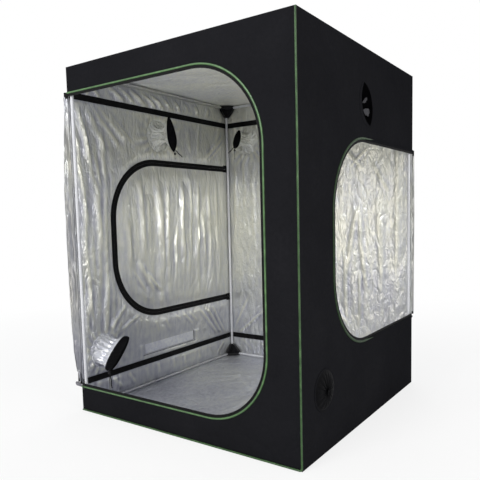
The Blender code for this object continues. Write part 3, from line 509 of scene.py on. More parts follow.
# Creases read from the photograph: start s and z and end s and z in metres, half width and height in millimetres
LEFT_CREASES = (
    (1.455, 1.83, 1.352, 1.42, 24, 11), (1.478, 1.81, 1.43, 1.25, 20, 9), (1.4, 1.82, 1.235, 1.5, 34, 10),
    (1.36, 1.825, 1.09, 1.545, 26, 8), (1.31, 1.825, 1.04, 1.6, 36, 10), (1.25, 1.82, 0.98, 1.585, 20, 5),
    (1.43, 1.71, 1.31, 1.2, 32, 9), (1.37, 1.63, 1.27, 1.25, 22, 6), (1.49, 1.6, 1.4, 1.05, 22, 8),
    (1.34, 1.35, 1.3, 0.86, 36, 9), (1.44, 1.3, 1.4, 0.32, 17, 10), (1.38, 1.15, 1.36, 0.62, 24, 6),
    (1.49, 0.95, 1.478, 0.12, 16, 8), (1.27, 0.8, 1.31, 0.4, 30, 5), (1.42, 1.93, 1.345, 1.85, 24, 8),
    (1.34, 1.93, 1.25, 1.84, 20, 7), (1.235, 1.97, 1.075, 1.86, 26, 11), (1.15, 1.99, 0.98, 1.86, 18, 7),
    (1.045, 1.985, 0.88, 1.855, 26, 10), (0.965, 1.99, 0.78, 1.855, 18, 7), (0.875, 1.99, 0.72, 1.87, 24, 9),
    (0.75, 1.99, 0.64, 1.87, 18, 6), (0.62, 1.98, 0.56, 1.87, 24, 7), (0.5, 1.98, 0.47, 1.87, 18, 5),
    (0.38, 1.98, 0.36, 1.87, 24, 6), (0.22, 1.98, 0.26, 1.87, 20, 5), (0.03, 1.78, 0.31, 1.56, 22, 9),
    (0.04, 1.72, 0.27, 1.54, 14, 5), (0.06, 1.93, 0.2, 1.62, 30, 8), (0.5, 1.79, 0.46, 1.57, 34, 6),
    (0.36, 1.8, 0.37, 1.57, 22, 5), (0.62, 1.66, 0.6, 1.55, 20, 4), (0.43, 0.465, 0.17, 0.185, 17, 9),
    (0.35, 0.465, 0.12, 0.18, 17, 9), (0.26, 0.455, 0.08, 0.175, 14, 7), (0.6, 0.45, 0.47, 0.33, 13, 7),
    (0.53, 0.45, 0.42, 0.34, 10, 5), (0.69, 0.46, 0.61, 0.39, 11, 6), (0.78, 0.44, 0.72, 0.33, 14, 4),
    (0.88, 0.45, 0.85, 0.36, 12, 4), (1.12, 0.6, 1.29, 0.425, 20, 8), (0.98, 0.52, 1.23, 0.4, 14, 6),
    (1.46, 0.34, 1.31, 0.19, 22, 10), (1.4, 0.34, 1.42, 0.2, 18, 8), (0.868, 0.145, 0.857, 0.03, 18, 6),
    (0.713, 0.145, 0.7, 0.03, 14, 5), (0.592, 0.145, 0.58, 0.03, 18, 6), (0.433, 0.145, 0.42, 0.03, 14, 5),
    (1.28, 0.145, 1.16, 0.03, 22, 8), (1.14, 0.145, 1.06, 0.03, 16, 6), (0.1, 0.145, 0.24, 0.03, 18, 6),
    (0.98, 0.145, 0.96, 0.03, 20, 4),
)
REAR_CREASES = (
    (0.05, 1.93, 0.13, 1.6, 20, 7), (0.06, 1.92, 0.34, 1.6, 24, 8), (0.08, 1.62, 0.07, 0.8, 16, 7),
    (0.16, 1.7, 0.175, 1.1, 18, 6), (0.24, 1.55, 0.26, 0.75, 30, 6), (0.03, 0.2, 0.2, 0.52, 16, 8),
    (0.06, 0.17, 0.36, 0.42, 18, 7), (0.34, 1.3, 0.36, 0.62, 22, 6), (0.12, 0.148, 0.24, 0.03, 14, 6),
    (0.3, 0.148, 0.36, 0.03, 16, 6), (0.5, 1.78, 0.55, 0.6, 40, 8), (0.68, 1.75, 0.64, 0.4, 36, 10),
    (0.86, 1.2, 0.74, 0.5, 30, 14), (0.86, 1.2, 0.97, 0.55, 34, 14), (0.86, 1.2, 0.84, 0.48, 22, 10),
    (1.12, 1.22, 1.02, 0.62, 26, 14), (1.12, 1.22, 1.19, 0.5, 26, 14), (1.02, 0.95, 1.04, 0.3, 20, 12),
    (1.14, 0.8, 1.13, 0.26, 16, 12), (0.7, 1.35, 0.9, 1.52, 18, 8), (1, 1.62, 1.18, 1.42, 20, 10),
    (1.06, 1.45, 1.22, 1.6, 14, 7), (0.78, 1.62, 0.96, 1.44, 22, 8), (1.22, 1.5, 1.36, 1.24, 20, 8),
    (1.28, 1.2, 1.3, 0.5, 30, 10), (1.4, 1.7, 1.4, 0.5, 22, 8), (0.72, 0.46, 0.92, 0.34, 20, 10),
    (0.88, 0.52, 1.08, 0.32, 18, 10),
)
LEFT_DOOR_CREASES = (
    (0.978, 1.44, 0.945, 0.78, 34, 13), (0.8, 1.47, 0.775, 0.62, 40, 12), (0.7, 1.46, 0.735, 0.66, 22, 8),
    (0.56, 1.47, 0.566, 0.64, 32, 12), (0.46, 1.47, 0.48, 0.7, 22, 7), (0.385, 1.46, 0.4, 0.66, 26, 9),
    (0.25, 1.44, 0.27, 0.62, 28, 8), (0.16, 1.46, 0.17, 0.8, 20, 6), (1.1, 1.15, 1.075, 0.78, 30, 9),
    (1.02, 0.86, 0.87, 0.62, 28, 10), (0.95, 0.78, 0.8, 0.62, 18, 7), (1.06, 0.8, 0.95, 0.64, 14, 5),
    (0.63, 1.1, 0.66, 0.62, 16, 7), (0.9, 1.3, 0.9, 0.95, 14, 5), (0.34, 1.2, 0.31, 0.72, 14, 6),
    (0.52, 1.02, 0.5, 0.68, 13, 5),
)


def creases(table, s, z):
    """The sum of a table's creases, in metres."""
    total = 0.0
    for s0, z0, s1, z1, width, height in table:
        total = total + height / 1000 * crease(s, z, (s0, z0), (s1, z1), width / 1000)
    return total


def left_folds(s, z):
    """The left wall's lining: the photographed creases over slack and small crumples."""
    calm = wall_calm("left", s, z)
    front = ramp((s - 1.15) / 0.15) * ramp((BAND_LEVELS["upper"] - z) / 0.3)
    above = ramp((z - BAND_LEVELS["upper"]) / 0.03)
    depth = (1.4 + 1.0 * above) * creases(LEFT_CREASES, s, z) + 0.012 * front * drape(61, s, z, 0.06, 0.03, 0.8)
    depth = depth + 0.004 * noise(71, s / 0.16, z / 0.3) + 0.0025 * crumple(81, s, z, 0.13)
    depth = depth + 0.0012 * crumple(91, s, z, 0.05) + 0.004
    return calm * (depth + 0.009 * port_creases("left", s, z))


def rear_folds(s, z):
    calm = wall_calm("rear", s, z)
    depth = creases(REAR_CREASES, s, z) + 0.005 * drape(151, s, z, 0.11, 0.02)
    depth = depth + 0.002 * crumple(161, s, z, 0.17) + 0.001 * crumple(171, s, z, 0.05)
    return calm * (depth + 0.002 + 0.008 * port_creases("rear", s, z))


def right_folds(s, z):
    depth = 0.011 * fan(221, s, z, (0.03, 1.97), -80, -12, 8, 0.6, 0.4)
    depth = depth + 0.011 * fan(225, s, z, (1.47, 1.97), -168, -100, 8, 0.7, 0.4)
    depth = depth + 0.012 * fan(231, s, z, (0.03, 0.09), 12, 80, 9, 0.6, 0.4)
    depth = depth + 0.010 * drape(241, s, z, 0.12) + 0.008 * crumple(251, s, z, 0.16)
    depth = depth + 0.004 * crumple(261, s, z, 0.065) + 0.008 * port_creases("right", s, z)
    return wall_calm("right", s, z) * depth


def front_folds(s, z):
    depth = 0.010 * drape(321, s, z, 0.1) + 0.006 * crumple(331, s, z, 0.13)
    return wall_calm("front", s, z) * depth


def roof_folds(s, z):
    depth = 0.0025 * crumple(421, s, z, 0.3) + 0.0015 * crumple(431, s, z, 0.11)
    edge = edge_gap(s, z)
    bar = ramp((np.abs(s - HALF) - 0.02) / 0.06)
    return ramp((edge - 0.05) / 0.1) * bar * depth


def floor_folds(s, z):
    """None: the floor lies flat under its mat."""
    return 0.0 * s


def outside_relief(wall, s, z):
    """The black side of the cover: faint slack and a few soft creases, flat where anything is sewn to it."""
    calm = ramp((edge_gap(s, z, TENT_HEIGHT) - 0.012) / 0.12)
    calm = held_at_holes(calm, wall, s, z, 0.028, 0.09, 0.012, 0.05)
    if wall == "left":
        calm = calm * ramp((vent_gap(s, z) - 0.01) / 0.04)
    seed = {"front": 610, "rear": 620, "left": 630, "right": 640}[wall]
    relief = 0.0018 * noise(seed, s / 0.45, z / 0.5) + 0.0018
    relief = relief + 0.0009 * crumple(seed + 1, s, z, 0.32) + 0.0004 * drape(seed + 2, s, z, 0.2, 0.3)
    return calm * relief


def roof_outside(s, z):
    return ramp((edge_gap(s, z) - 0.03) / 0.15) * (0.002 * crumple(651, s, z, 0.35) + 0.001)


# Cloth pieces

def cloth_shell(place, span, rise, cut, outward, inward, step=CLOTH_STEP):
    """Points, faces, sides (0 outside, 1 inside) and painted fold shade of lined cloth; cut(s, z) is above 0 where it
    is cut away.
    """
    columns, rows = (max(2, round((high - low) / step)) for low, high in (span, rise))
    s, z = np.meshgrid(np.linspace(*span, columns + 1), np.linspace(*rise, rows + 1), indexing="ij")
    gone = np.zeros(s.shape, bool)
    if cut is not None:
        depth = cut(s, z)
        nudge = step * 0.01
        ds = (cut(s + nudge, z) - cut(s - nudge, z)) / (2 * nudge)
        dz = (cut(s, z + nudge) - cut(s, z - nudge)) / (2 * nudge)
        size = np.maximum(ds * ds + dz * dz, 0.25)
        near = np.abs(depth) < SNAP_SHARE * step
        s = np.where(near, np.clip(s - depth * ds / size, *span), s)
        z = np.where(near, np.clip(z - depth * dz / size, *rise), z)
        gone = ~near & (depth > 0)
    index = np.arange(s.size).reshape(s.shape)
    corners = np.stack((index[:-1, :-1], index[1:, :-1], index[1:, 1:], index[:-1, 1:]), -1).reshape(-1, 4)
    lost = gone.ravel()[corners]
    kept = [corners[lost.sum(1) == 0]]
    for k in range(4):
        alone = (lost.sum(1) == 1) & lost[:, k]
        kept.append(np.delete(corners[alone], k, axis=1))
    flat_s, flat_z = s.ravel(), z.ravel()
    top = []
    for group in kept:
        fs, fz = flat_s[group], flat_z[group]
        area = 0.5 * np.abs((fs * np.roll(fz, -1, 1) - np.roll(fs, -1, 1) * fz).sum(1))
        fine = area > THIN_SHARE * step * step
        if cut is not None:
            fine &= cut(fs.mean(1), fz.mean(1)) < 0.1 * step
        top += group[fine].tolist()
    used = np.unique(np.concatenate([np.array(face) for face in top]))
    renumber = np.zeros(s.size, int)
    renumber[used] = np.arange(len(used))
    top = [[int(renumber[i]) for i in face] for face in top]
    s, z = flat_s[used], flat_z[used]
    count = len(used)
    depth = inward(s, z)
    points = np.vstack((place(s, z, outward(s, z)), place(s, z, -CLOTH - depth)))
    # Painted shade and highlight: how far each inner point lies below (darker) or above (lighter) the lining round it
    around = ((FOLD_SHADE_REACH, 0), (-FOLD_SHADE_REACH, 0), (0, FOLD_SHADE_REACH), (0, -FOLD_SHADE_REACH))
    level = sum(inward(s + ds, z + dz) for ds, dz in around) / 4
    fold_shade = np.concatenate((np.zeros(count), np.clip((depth - level) / FOLD_SHADE_HEIGHT, -1, 1)))
    under = [[i + count for i in reversed(face)] for face in top]
    edges = {(face[k - 1], face[k]) for face in top for k in range(len(face))}
    rim = [[b, a, a + count, b + count] for a, b in edges if (b, a) not in edges]
    rim.sort()
    sides = [0] * len(top) + [1] * len(under) + [0] * len(rim)
    return points, top + under + rim, sides, fold_shade


def wall_cut(wall):
    """How far inside the nearest doorway or port of a wall a point lies."""
    holes = [hole for hole in (*DOORWAYS.values(), *PORTS.values()) if hole.wall == wall]
    if not holes:
        return None
    return lambda s, z: np.max([hole.depth(s, z) for hole in holes], axis=0)


def turned(points, axis, turn):
    """Points drawn with a door closed, moved to where it hangs open."""
    c, s = math.cos(turn), math.sin(turn)
    away = points - np.array((*axis, 0.0))
    out = away.copy()
    out[..., 0] = c * away[..., 0] - s * away[..., 1]
    out[..., 1] = s * away[..., 0] + c * away[..., 1]
    return out + np.array((*axis, 0.0))


# Where each door hangs: the axis it turns about and its turn; where its cloth begins; how much of it lies calm
DOOR_TURNS = {
    "front": ((-HALF - FRONT_STANDOFF, -HALF - FRONT_STANDOFF), math.pi / 2),
    "right": ((HALF + RIGHT_STANDOFF, HALF + RIGHT_STANDOFF), -math.pi / 2),
    "left": ((-0.71, 0.7), 0.0),
}
DOOR_FIRST = {"front": DOOR_INSET, "right": DOOR_INSET, "left": 0.0353}
DOOR_CALM = {"front": FOLD_LAP, "right": FOLD_LAP, "left": 0.032}


def door_place(name):
    """The place of (s, z, h) on one door where it hangs, as a function."""
    axis, turn = DOOR_TURNS[name]
    return lambda s, z, h: turned(on_wall(name, s, z, h), axis, turn)


def door_folds(name, s, z):
    """How far a door's cloth stands in from its plane, in metres."""
    doorway = DOORWAYS[name]
    inside = doorway.depth(s, z) - DOOR_SETBACK
    calm = ramp((inside - TRIM_INSIDE - 0.003) / 0.07) * ramp((s - DOOR_FIRST[name] - DOOR_CALM[name]) / 0.1)
    hang = (doorway.head - z) / (doorway.head - doorway.sill)
    if name == "left":
        depth = 1.5 * creases(LEFT_DOOR_CREASES, s, z) + 0.007 * (0.4 + 0.6 * ramp(2 * hang)) * drape(711, s, z, 0.1)
        depth = depth + 0.003 * noise(715, s / 0.2, z / 0.4) + 0.003
        depth = depth + 0.0025 * crumple(721, s, z, 0.12) + 0.0012 * crumple(725, s, z, 0.05)
    else:
        seed = 731 if name == "front" else 751
        depth = 0.014 * drape(seed, s, z, 0.16, 0.05, 0.5) + 0.008 * drape(seed + 3, s, z, 0.08, -0.03, 0.8)
        depth = depth + 0.008 * crumple(seed + 7, s, z, 0.16) + 0.004 * crumple(seed + 9, s, z, 0.06)
    return calm * depth


def door_outside(name, s, z):
    """The black side follows the lining's folds, but never stands out as far."""
    return -0.75 * door_folds(name, s, z)


def add_walls(black, foil, calm_lit_foil):
    """The six pieces of the cover, black outside and silver inside."""
    folds = {"front": front_folds, "rear": rear_folds, "left": left_folds, "right": right_folds}
    for wall, inward in folds.items():
        first = 0.0 if wall in ("front", "rear") else INNER_EDGE
        points, faces, sides, fold_shade = cloth_shell(
            wall_place(wall), (first, 2 * HALF - first), (0.0, TENT_HEIGHT), wall_cut(wall),
            lambda s, z, wall=wall: outside_relief(wall, s, z), inward)
        piece = add_piece(f"{wall}_wall", points, faces, [black, foil], "black_cloth",
                          replaces=[f"cover_{wall}_wall"], indices=sides, folds=fold_shade)
    reach = (INNER_EDGE, 2 * HALF - INNER_EDGE)
    for name, inward, outward in (("roof", roof_folds, roof_outside), ("floor", floor_folds, floor_folds)):
        points, faces, sides, _ = cloth_shell(wall_place(name), reach, reach, None, outward, inward, 2 * CLOTH_STEP)
        # The roof's and floor's inner side takes the lighter copy of the lining, painted light
        piece = add_piece(f"{name}_cloth", points, faces, [black, calm_lit_foil], "black_cloth",
                          replaces=[f"cover_{name}"], indices=sides)


def add_doors(black, foil):
    """The three doors' cloth, each cut to its doorway less a small gap."""
    for name, doorway in DOORWAYS.items():
        points, faces, sides, fold_shade = cloth_shell(
            door_place(name), (DOOR_FIRST[name], doorway.reach - DOOR_SETBACK),
            (doorway.sill + DOOR_SETBACK, doorway.head - DOOR_SETBACK),
            lambda s, z, doorway=doorway: DOOR_SETBACK - doorway.depth(s, z, hinged=False),
            lambda s, z, name=name: door_outside(name, s, z), lambda s, z, name=name: door_folds(name, s, z))
        piece = add_piece(f"{name}_door_cloth", points, faces, [black, foil], "silver_lining", f"{name}_door",
                          [f"{name}_door"], sides, folds=fold_shade)


# Strips along the doorways

def edge_strip(doorway, profile, offset=0.0, first=None, place=None):
    """A profile of (d, h) points along a doorway's edge; d is outward in the wall, h is out of it."""
    place = place or wall_place(doorway.wall)
    rings = []
    profile = np.array(profile)
    for s, z, along, up in doorway.edge(offset, first):
        rings.append(place(s + along * profile[:, 0], z + up * profile[:, 0], profile[:, 1]))
    return skin(rings)


def binding_profile(sign):
    """Tape folded round a cloth edge, with rounded folds: sign 1 on the wall's side of the zip, -1 on the door's."""
    wrap = SEAM_GAP + TAPE
    soft = TAPE / 2
    outer = [(TAPE_OUTSIDE, SEAM_GAP), (TAPE_OUTSIDE + soft / 2, SEAM_GAP + soft), (TAPE_OUTSIDE, wrap),
             (-wrap + soft, wrap), (-wrap, wrap - soft)]
    inner = [(-wrap, -CLOTH - wrap + soft), (-wrap + soft, -CLOTH - wrap), (TRIM_INSIDE, -CLOTH - wrap),
             (TRIM_INSIDE + soft / 2, -CLOTH - wrap + soft), (TRIM_INSIDE, -INNER_EDGE), (-SEAM_GAP, -INNER_EDGE),
             (-SEAM_GAP, SEAM_GAP)]
    return [(sign * d, h) for d, h in outer + inner]


# Zip teeth: their pitch, their reach each way along the zip, and their section (d, h) across it
TOOTH_PITCH = 0.005
TOOTH_RUN = (-0.0010, 0.0010)
TOOTH_SECTION = ((-0.0013, -0.0028), (-0.0028, -0.0024), (-0.0028, -0.0008), (-0.0013, -0.0004))


def zip_teeth(doorway, sign, setback, phase, place):
    """Small teeth along the tape's edge, in the zip's gap; the two sides are half a pitch apart, so they mesh."""
    stations = doorway.edge(0.0, max(doorway.hinge, INNER_EDGE + SEAM_GAP))
    lengths = np.concatenate(([0.0], np.cumsum(np.hypot(np.diff(stations[:, 0]), np.diff(stations[:, 1])))))
    places = np.arange(TOOTH_PITCH * (1 + phase), lengths[-1] - TOOTH_PITCH, TOOTH_PITCH)
    parts = []
    for s, z, along, up in zip(*(np.interp(places, lengths, column) for column in stations.T)):
        size = math.hypot(along, up)
        along, up = along / size, up / size
        corners = []
        for run in TOOTH_RUN:
            for d, h in TOOTH_SECTION:
                out = sign * d - setback
                corners.append(place(s + along * out - up * run, z + up * out + along * run, h))
        parts.append((np.array(corners), ring_faces(2, 4)))
    return merge(*parts)


def piping_profile(points=9):
    """A round bead with a flat flange under it."""
    half = PIPING_WIDTH / 2
    middle = TAPE_OUTSIDE + SEAM_GAP + half
    bead = PIPING_HEIGHT - SEAM_GAP
    profile = []
    for i in range(points):
        angle = math.pi * i / (points - 1)
        profile.append((middle + half * blunt(-math.cos(angle), 1.25), SEAM_GAP + bead * math.sin(angle) ** 0.8))
    return profile


def add_edgings(webbing, green, painted_shade_green, metal):
    """Round each doorway: the piping, and on both sides of the zip its folded tape and its teeth."""
    for name, doorway in DOORWAYS.items():
        points, faces = edge_strip(doorway, piping_profile())
        around = len(piping_profile())
        # Painted shade: the piping's sides take a darker copy of the green, and so does all of the right doorway's
        # piping
        bead = [1 if 2 <= i <= 5 else 0 for i in range(around)] * ((len(faces) - 2) // around) + [0, 0]
        add_piece(f"{name}_piping", points, faces, [painted_shade_green, painted_shade_green if name == "right" else green],
                  "green_piping", replaces=[f"{name}_doorway_piping"], indices=bead)
        first = max(doorway.hinge, INNER_EDGE + SEAM_GAP)
        add_piece(f"{name}_wall_tape", *edge_strip(doorway, binding_profile(1), first=first), [webbing],
                  "black_webbing", replaces=[f"{name}_zip_tape"])
        add_piece(f"{name}_wall_teeth", *zip_teeth(doorway, 1, 0.0, 0.0, wall_place(doorway.wall)), [metal],
                  "zip_metal", smooth=False)
        place = door_place(name)
        add_piece(f"{name}_door_binding",
                  *edge_strip(doorway, binding_profile(-1), -DOOR_SETBACK, DOOR_FIRST[name], place),
                  [webbing], "black_webbing", f"{name}_door", [f"{name}_door_tape"])
        add_piece(f"{name}_door_teeth", *zip_teeth(doorway, -1, DOOR_SETBACK, 0.5, place), [metal],
                  "zip_metal", f"{name}_door", smooth=False)


# The hoods over the right doorway's piping: where they end, over what length they narrow, and to what share
HOOD_END = 0.79
HOOD_EASE = 0.16
HOOD_LEAST = 0.04


def add_piping_hoods(black):
    """Cloth that lies over the right doorway's piping on its straight stretches, so green shows only on the curve."""
    doorway = DOORWAYS["right"]
    outer = [(0.0102, SEAM_GAP), (0.0105, 0.0042), (0.0130, 0.0058), (0.0168, 0.0061), (0.0206, 0.0058),
             (0.0231, 0.0042), (0.0240, SEAM_GAP)]
    inner = [(d + (0.0004 if d < 0.0168 else -0.0004) * (d != 0.0168), max(h - 0.0006, SEAM_GAP)) for d, h in outer]
    profile = np.array(inner + outer[::-1])[::-1]
    stations = doorway.edge(0.0, INNER_EDGE)
    for name, up in (("sill", -1.0), ("head", 1.0)):
        rings = []
        for s, z, _, _ in stations[(stations[:, 2] == 0.0) & (stations[:, 3] == up)]:
            lift = 0.0006 * (1 + float(noise(861, s / 0.05, up)))
            cover = HOOD_LEAST + (1 - HOOD_LEAST) * float(ramp((HOOD_END - s) / HOOD_EASE))
            across = profile[-1, 0] + (profile[:, 0] - profile[-1, 0]) * cover
            rings.append(on_wall("right", s, z + up * across, profile[:, 1] + lift * (profile[:, 1] > 0.004)))
        add_piece(f"right_{name}_hood", *skin(rings), [black], "black_cloth")


def add_front_piping(green):
    """Piping down the front right corner and along the foot, a little uneven as sewn piping is."""
    radius, bend = CORNER_PIPING_RADIUS, CORNER_PIPING_BEND
    y = -HALF - radius - SEAM_GAP
    low = radius + SEAM_GAP
    points = []
    for z in np.linspace(TENT_HEIGHT - radius, low + bend, 80):
        points.append((HALF + 0.0012 * float(noise(811, z / 0.3, 0.5)), y, z))
    for i in range(1, 8):
        angle = math.pi / 2 * i / 8
        points.append((HALF - bend + bend * math.cos(angle), y, low + bend - bend * math.sin(angle)))
    for x in np.linspace(HALF - bend, -HALF + radius, 70):
        points.append((x, y, low + 0.0006 * abs(float(noise(812, x / 0.2, 0.5)))))
    add_piece("corner_piping", *tube(points, radius, 14), [green], "green_piping", replaces=["front_piping"])


def slab(wall, low, high, out, depth):
    """A flat rectangle of cloth on a wall, out to out + depth."""
    corners = [(low[0], low[1]), (high[0], low[1]), (high[0], high[1]), (low[0], high[1])]
    return skin([[on_wall(wall, s, z, h) for s, z in corners] for h in (out, out + depth)])


def add_trim_ends(webbing):
    """Sewn squares that close the left door's trim beside the rear post."""
    left = DOORWAYS["left"]
    near, far = left.hinge - 0.0012, left.hinge + 0.026
    reach = 0.027
    out, depth = -INNER_EDGE - TAPE - 2 * SEAM_GAP, -0.0028
    root_parts, door_parts = [], []
    for edge, sign in ((left.sill, -1), (left.head, 1)):
        root_parts.append(slab("left", (0.008, edge - reach), (near, edge + reach), out, depth))
        low, high = sorted((edge + sign * 0.002, edge + sign * reach))
        root_parts.append(slab("left", (near, low), (far, high), out, depth))
        low, high = sorted((edge - sign * 0.0072, edge - sign * reach))
        door_parts.append(slab("left", (near + 0.003, low), (far, high), out, depth))
    for name, parts, body in (("left_trim_end", root_parts, "root"), ("left_door_trim_end", door_parts, "left_door")):
        add_piece(name, *merge_solids(parts), [webbing], "black_webbing", body, smooth=False)


def add_bands(webbing):
    """Webbing bands that follow the lining's slack behind them, with a selvedge along each side."""
    heights = ((-0.5, 0.0), (-0.5, 1.0), (-0.44, 1.25), (-0.4, 1.0), (0.4, 1.0), (0.44, 1.25), (0.5, 1.0), (0.5, 0.0))
    folds = {"left": left_folds, "rear": rear_folds, "right": right_folds}
    ends = INNER_EDGE
    front = 2 * HALF - INNER_EDGE - BAND_FRONT_GAP
    runs = (("left", front, ends), ("rear", ends, 2 * HALF - ends), ("right", ends, front))
    for name, level in BAND_LEVELS.items():
        span = np.linspace(level - BAND_HEIGHT / 2, level + BAND_HEIGHT / 2, 5)
        rings = []
        for wall, start, end in runs:
            for s in np.linspace(start, end, 110):
                slack = float(np.max(folds[wall](np.full(5, s), span)))
                lift = 0.0 if s <= ends or s >= 2 * HALF - ends else slack
                rings.append([on_wall(wall, s, level + BAND_HEIGHT * a, -INNER_EDGE - lift - TAPE * b)
                              for a, b in heights])
        add_piece(f"{name}_webbing_band", *skin(rings), [webbing], "black_webbing", replaces=[f"{name}_band"])


# Doors folded round their corners

def fold_spine(bulge, panel_out, steps=12):
    """Points (out, along) of the cloth round a corner, as in the part's source but finer."""
    half = CLOTH / 2
    start = INNER_EDGE + half + SEAM_GAP
    rest = panel_out + half + TAPE + 2 * SEAM_GAP + half
    crest = bulge - half
    spine = []
    for i in range(steps):
        angle = math.pi / 2 * i / steps
        out = SEAM_GAP + (crest - SEAM_GAP) * math.sin(angle)
        spine.append((out, start - FOLD_BOW * math.sin(2 * angle) + FOLD_CREST * (1 - math.cos(angle))))
    for i in range(steps + 1):
        share = i / steps
        spine.append((crest + (rest - crest) * float(ramp(share)),
                      start + FOLD_CREST + (FOLD_LAP - FOLD_CREST) * share))
    return np.array(spine)


def fold_sides(spine):
    """The direction across a fold's spine at each of its points; it starts straight out of the wall."""
    ahead = np.gradient(spine, axis=0)
    ahead[0] = (1.0, 0.0)
    ahead /= np.linalg.norm(ahead, axis=1)[:, None]
    return np.stack((ahead[:, 1], -ahead[:, 0]), -1)


def fold_shell(fold, low, high, seed=905, rows=150):
    """The strip's points, faces and sides; its folds run up and down and swell only outward."""
    rings = []
    for z in np.linspace(low, high, rows + 1):
        share = (z - low) / (high - low)
        spine = fold.spine(share)
        side = fold_sides(spine)
        run = np.linspace(0, 1, len(spine))
        room = ramp(run / 0.25) * ramp((1 - run) / 0.3)
        swell = 0.008 * pleat(run * 4.2 + 0.35 * noise(seed, run * 2, z / 0.25), 0.8)
        swell = swell + 0.005 * crumple(seed + 3, run * 0.2, z + 0 * run, 0.07)
        swell = swell * min(fold.bulge(share) / 0.06, 1.0)
        away = side * (CLOTH / 2 + room * swell)[:, None]
        outside = fold.place(spine[:, 0] + away[:, 0], spine[:, 1] + away[:, 1], z)
        inside = fold.place(spine[:, 0] - side[:, 0] * CLOTH / 2, spine[:, 1] - side[:, 1] * CLOTH / 2, z)
        rings.append(np.vstack((outside, inside[::-1])))
    count = len(spine)
    sides = [1 if i < count - 1 else 0 for i in range(2 * count)] * rows + [0, 0]
    return *skin(rings), sides


# How far the front door's fold stands out: share of its height, metres
FRONT_BULGE = ((0.0, 0.006), (0.03, 0.026), (0.066, 0.043), (0.11, 0.057), (0.2, 0.063), (0.33, 0.067), (0.42, 0.066),
               (0.5, 0.069), (0.6, 0.066), (0.69, 0.066), (0.75, 0.056), (0.84, 0.045), (0.93, 0.034), (1.0, 0.026))


def front_bulge(share):
    return float(np.interp(share, *zip(*FRONT_BULGE)))


def right_bulge(share):
    return 0.016 + 0.006 * math.sin(math.pi * share)


def front_corner(out, along, z):
    """A point of the fold round the front left corner."""
    return np.stack(np.broadcast_arrays(-HALF - out, along - HALF, z), -1)


def right_corner(out, along, z):
    """A point of the fold round the rear right corner."""
    return np.stack(np.broadcast_arrays(HALF - along, HALF + out, z), -1)


@dataclass
class Fold:
    """The cloth between an open door and its wall and how it lies; its axis and anchor, for squashing it as the door
    closes, are not used here.
    """
    place: object
    bulge: object
    panel_out: float
    axis: tuple
    anchor: tuple

    def spine(self, share):
        """Points (out, along) of the cloth round the corner, at a share of the strip's height."""
        return fold_spine(self.bulge(share), self.panel_out)


FOLDS = {
    "front": Fold(front_corner, front_bulge, 2 * FRONT_STANDOFF + CLOTH / 2, (-1, 0, 0), (-HALF + CLOTH / 2, 0, 0)),
    "right": Fold(right_corner, right_bulge, 2 * RIGHT_STANDOFF + CLOTH / 2, (0, 1, 0), (0, HALF - CLOTH / 2, 0)),
}


def add_fold_strips(black, foil, webbing, sheen_grey):
    """The cloth between each open door and its wall, with its tapes, and the front one's strap and seam."""
    for name, fold in FOLDS.items():
        doorway = DOORWAYS[name]
        low, high = doorway.sill + DOOR_SETBACK, doorway.head - DOOR_SETBACK
        points, faces, sides = fold_shell(fold, low, high)
        # The strip's lining is the darker copy, painted shade
        piece = add_piece(f"{name}_fold", points, faces, [black, foil], "silver_lining",
                          replaces=[f"{name}_door_fold"], indices=sides)
        pieces = [piece]
        parts = [fold_tape(fold, 0.0, low + 0.010, 0.016, 0.0), fold_tape(fold, 1.0, high + 0.025, 0.034, 0.004)]
        if name == "front":
            # The strap is a lighter grey tape, partly painted sheen
            pieces.append(add_piece("front_fold_strap", *fold_strap(fold, low), [sheen_grey], "black_webbing"))
            parts.append(fold_seam(fold, low, high))
        pieces.append(add_piece(f"{name}_fold_tape", *merge_solids(parts), [webbing], "black_webbing"))
        for piece in pieces:
            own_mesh(piece)


def fold_tape(fold, share, level, height, dip):
    """Tape over the strip's top or foot, whose upper edge dips where the strip stands out."""
    spine = fold.spine(share)
    rings = []
    for point, across in zip(spine, fold_sides(spine)):
        outer = point + across * (CLOTH / 2 + 0.0016)
        inner = point - across * (CLOTH / 2 + 0.0004)
        top = level - dip * (point[0] / spine[:, 0].max()) ** 2
        rings.append([fold.place(*at, z) for at, z in ((outer, top - height), (outer, top), (inner, top),
                                                       (inner, top - height))])
    return skin(rings)


def fold_strap(fold, low):
    """A round-ended strap that sticks out at the strip's foot."""
    rings = []
    middle = low - 0.012
    for share in np.linspace(0, 1, 12):
        half = 0.0125 * math.sqrt(max(1 - max(share - 0.75, 0) ** 2 / 0.25 ** 2, 0.02))
        out, along = 0.0004 + 0.060 * share, -0.003 + 0.004 * share
        rings.append([fold.place(out, along + side * 0.0012, middle + up * half)
                      for side, up in ((-1, -1), (-1, 1), (1, 1), (1, -1))])
    return skin(rings)


def fold_seam(fold, low, high):
    """A seam down the strip's crest."""
    seam = []
    for share in np.linspace(0.04, 0.62, 60):
        point = fold.spine(share)[5] + np.array((0.0045, -0.0045)) * (1 + 0.5 * float(noise(971, share * 16, 0.5)))
        seam.append(fold.place(point[0], point[1], low + (high - low) * share))
    return tube(seam, 0.0013, 8)


# Frame

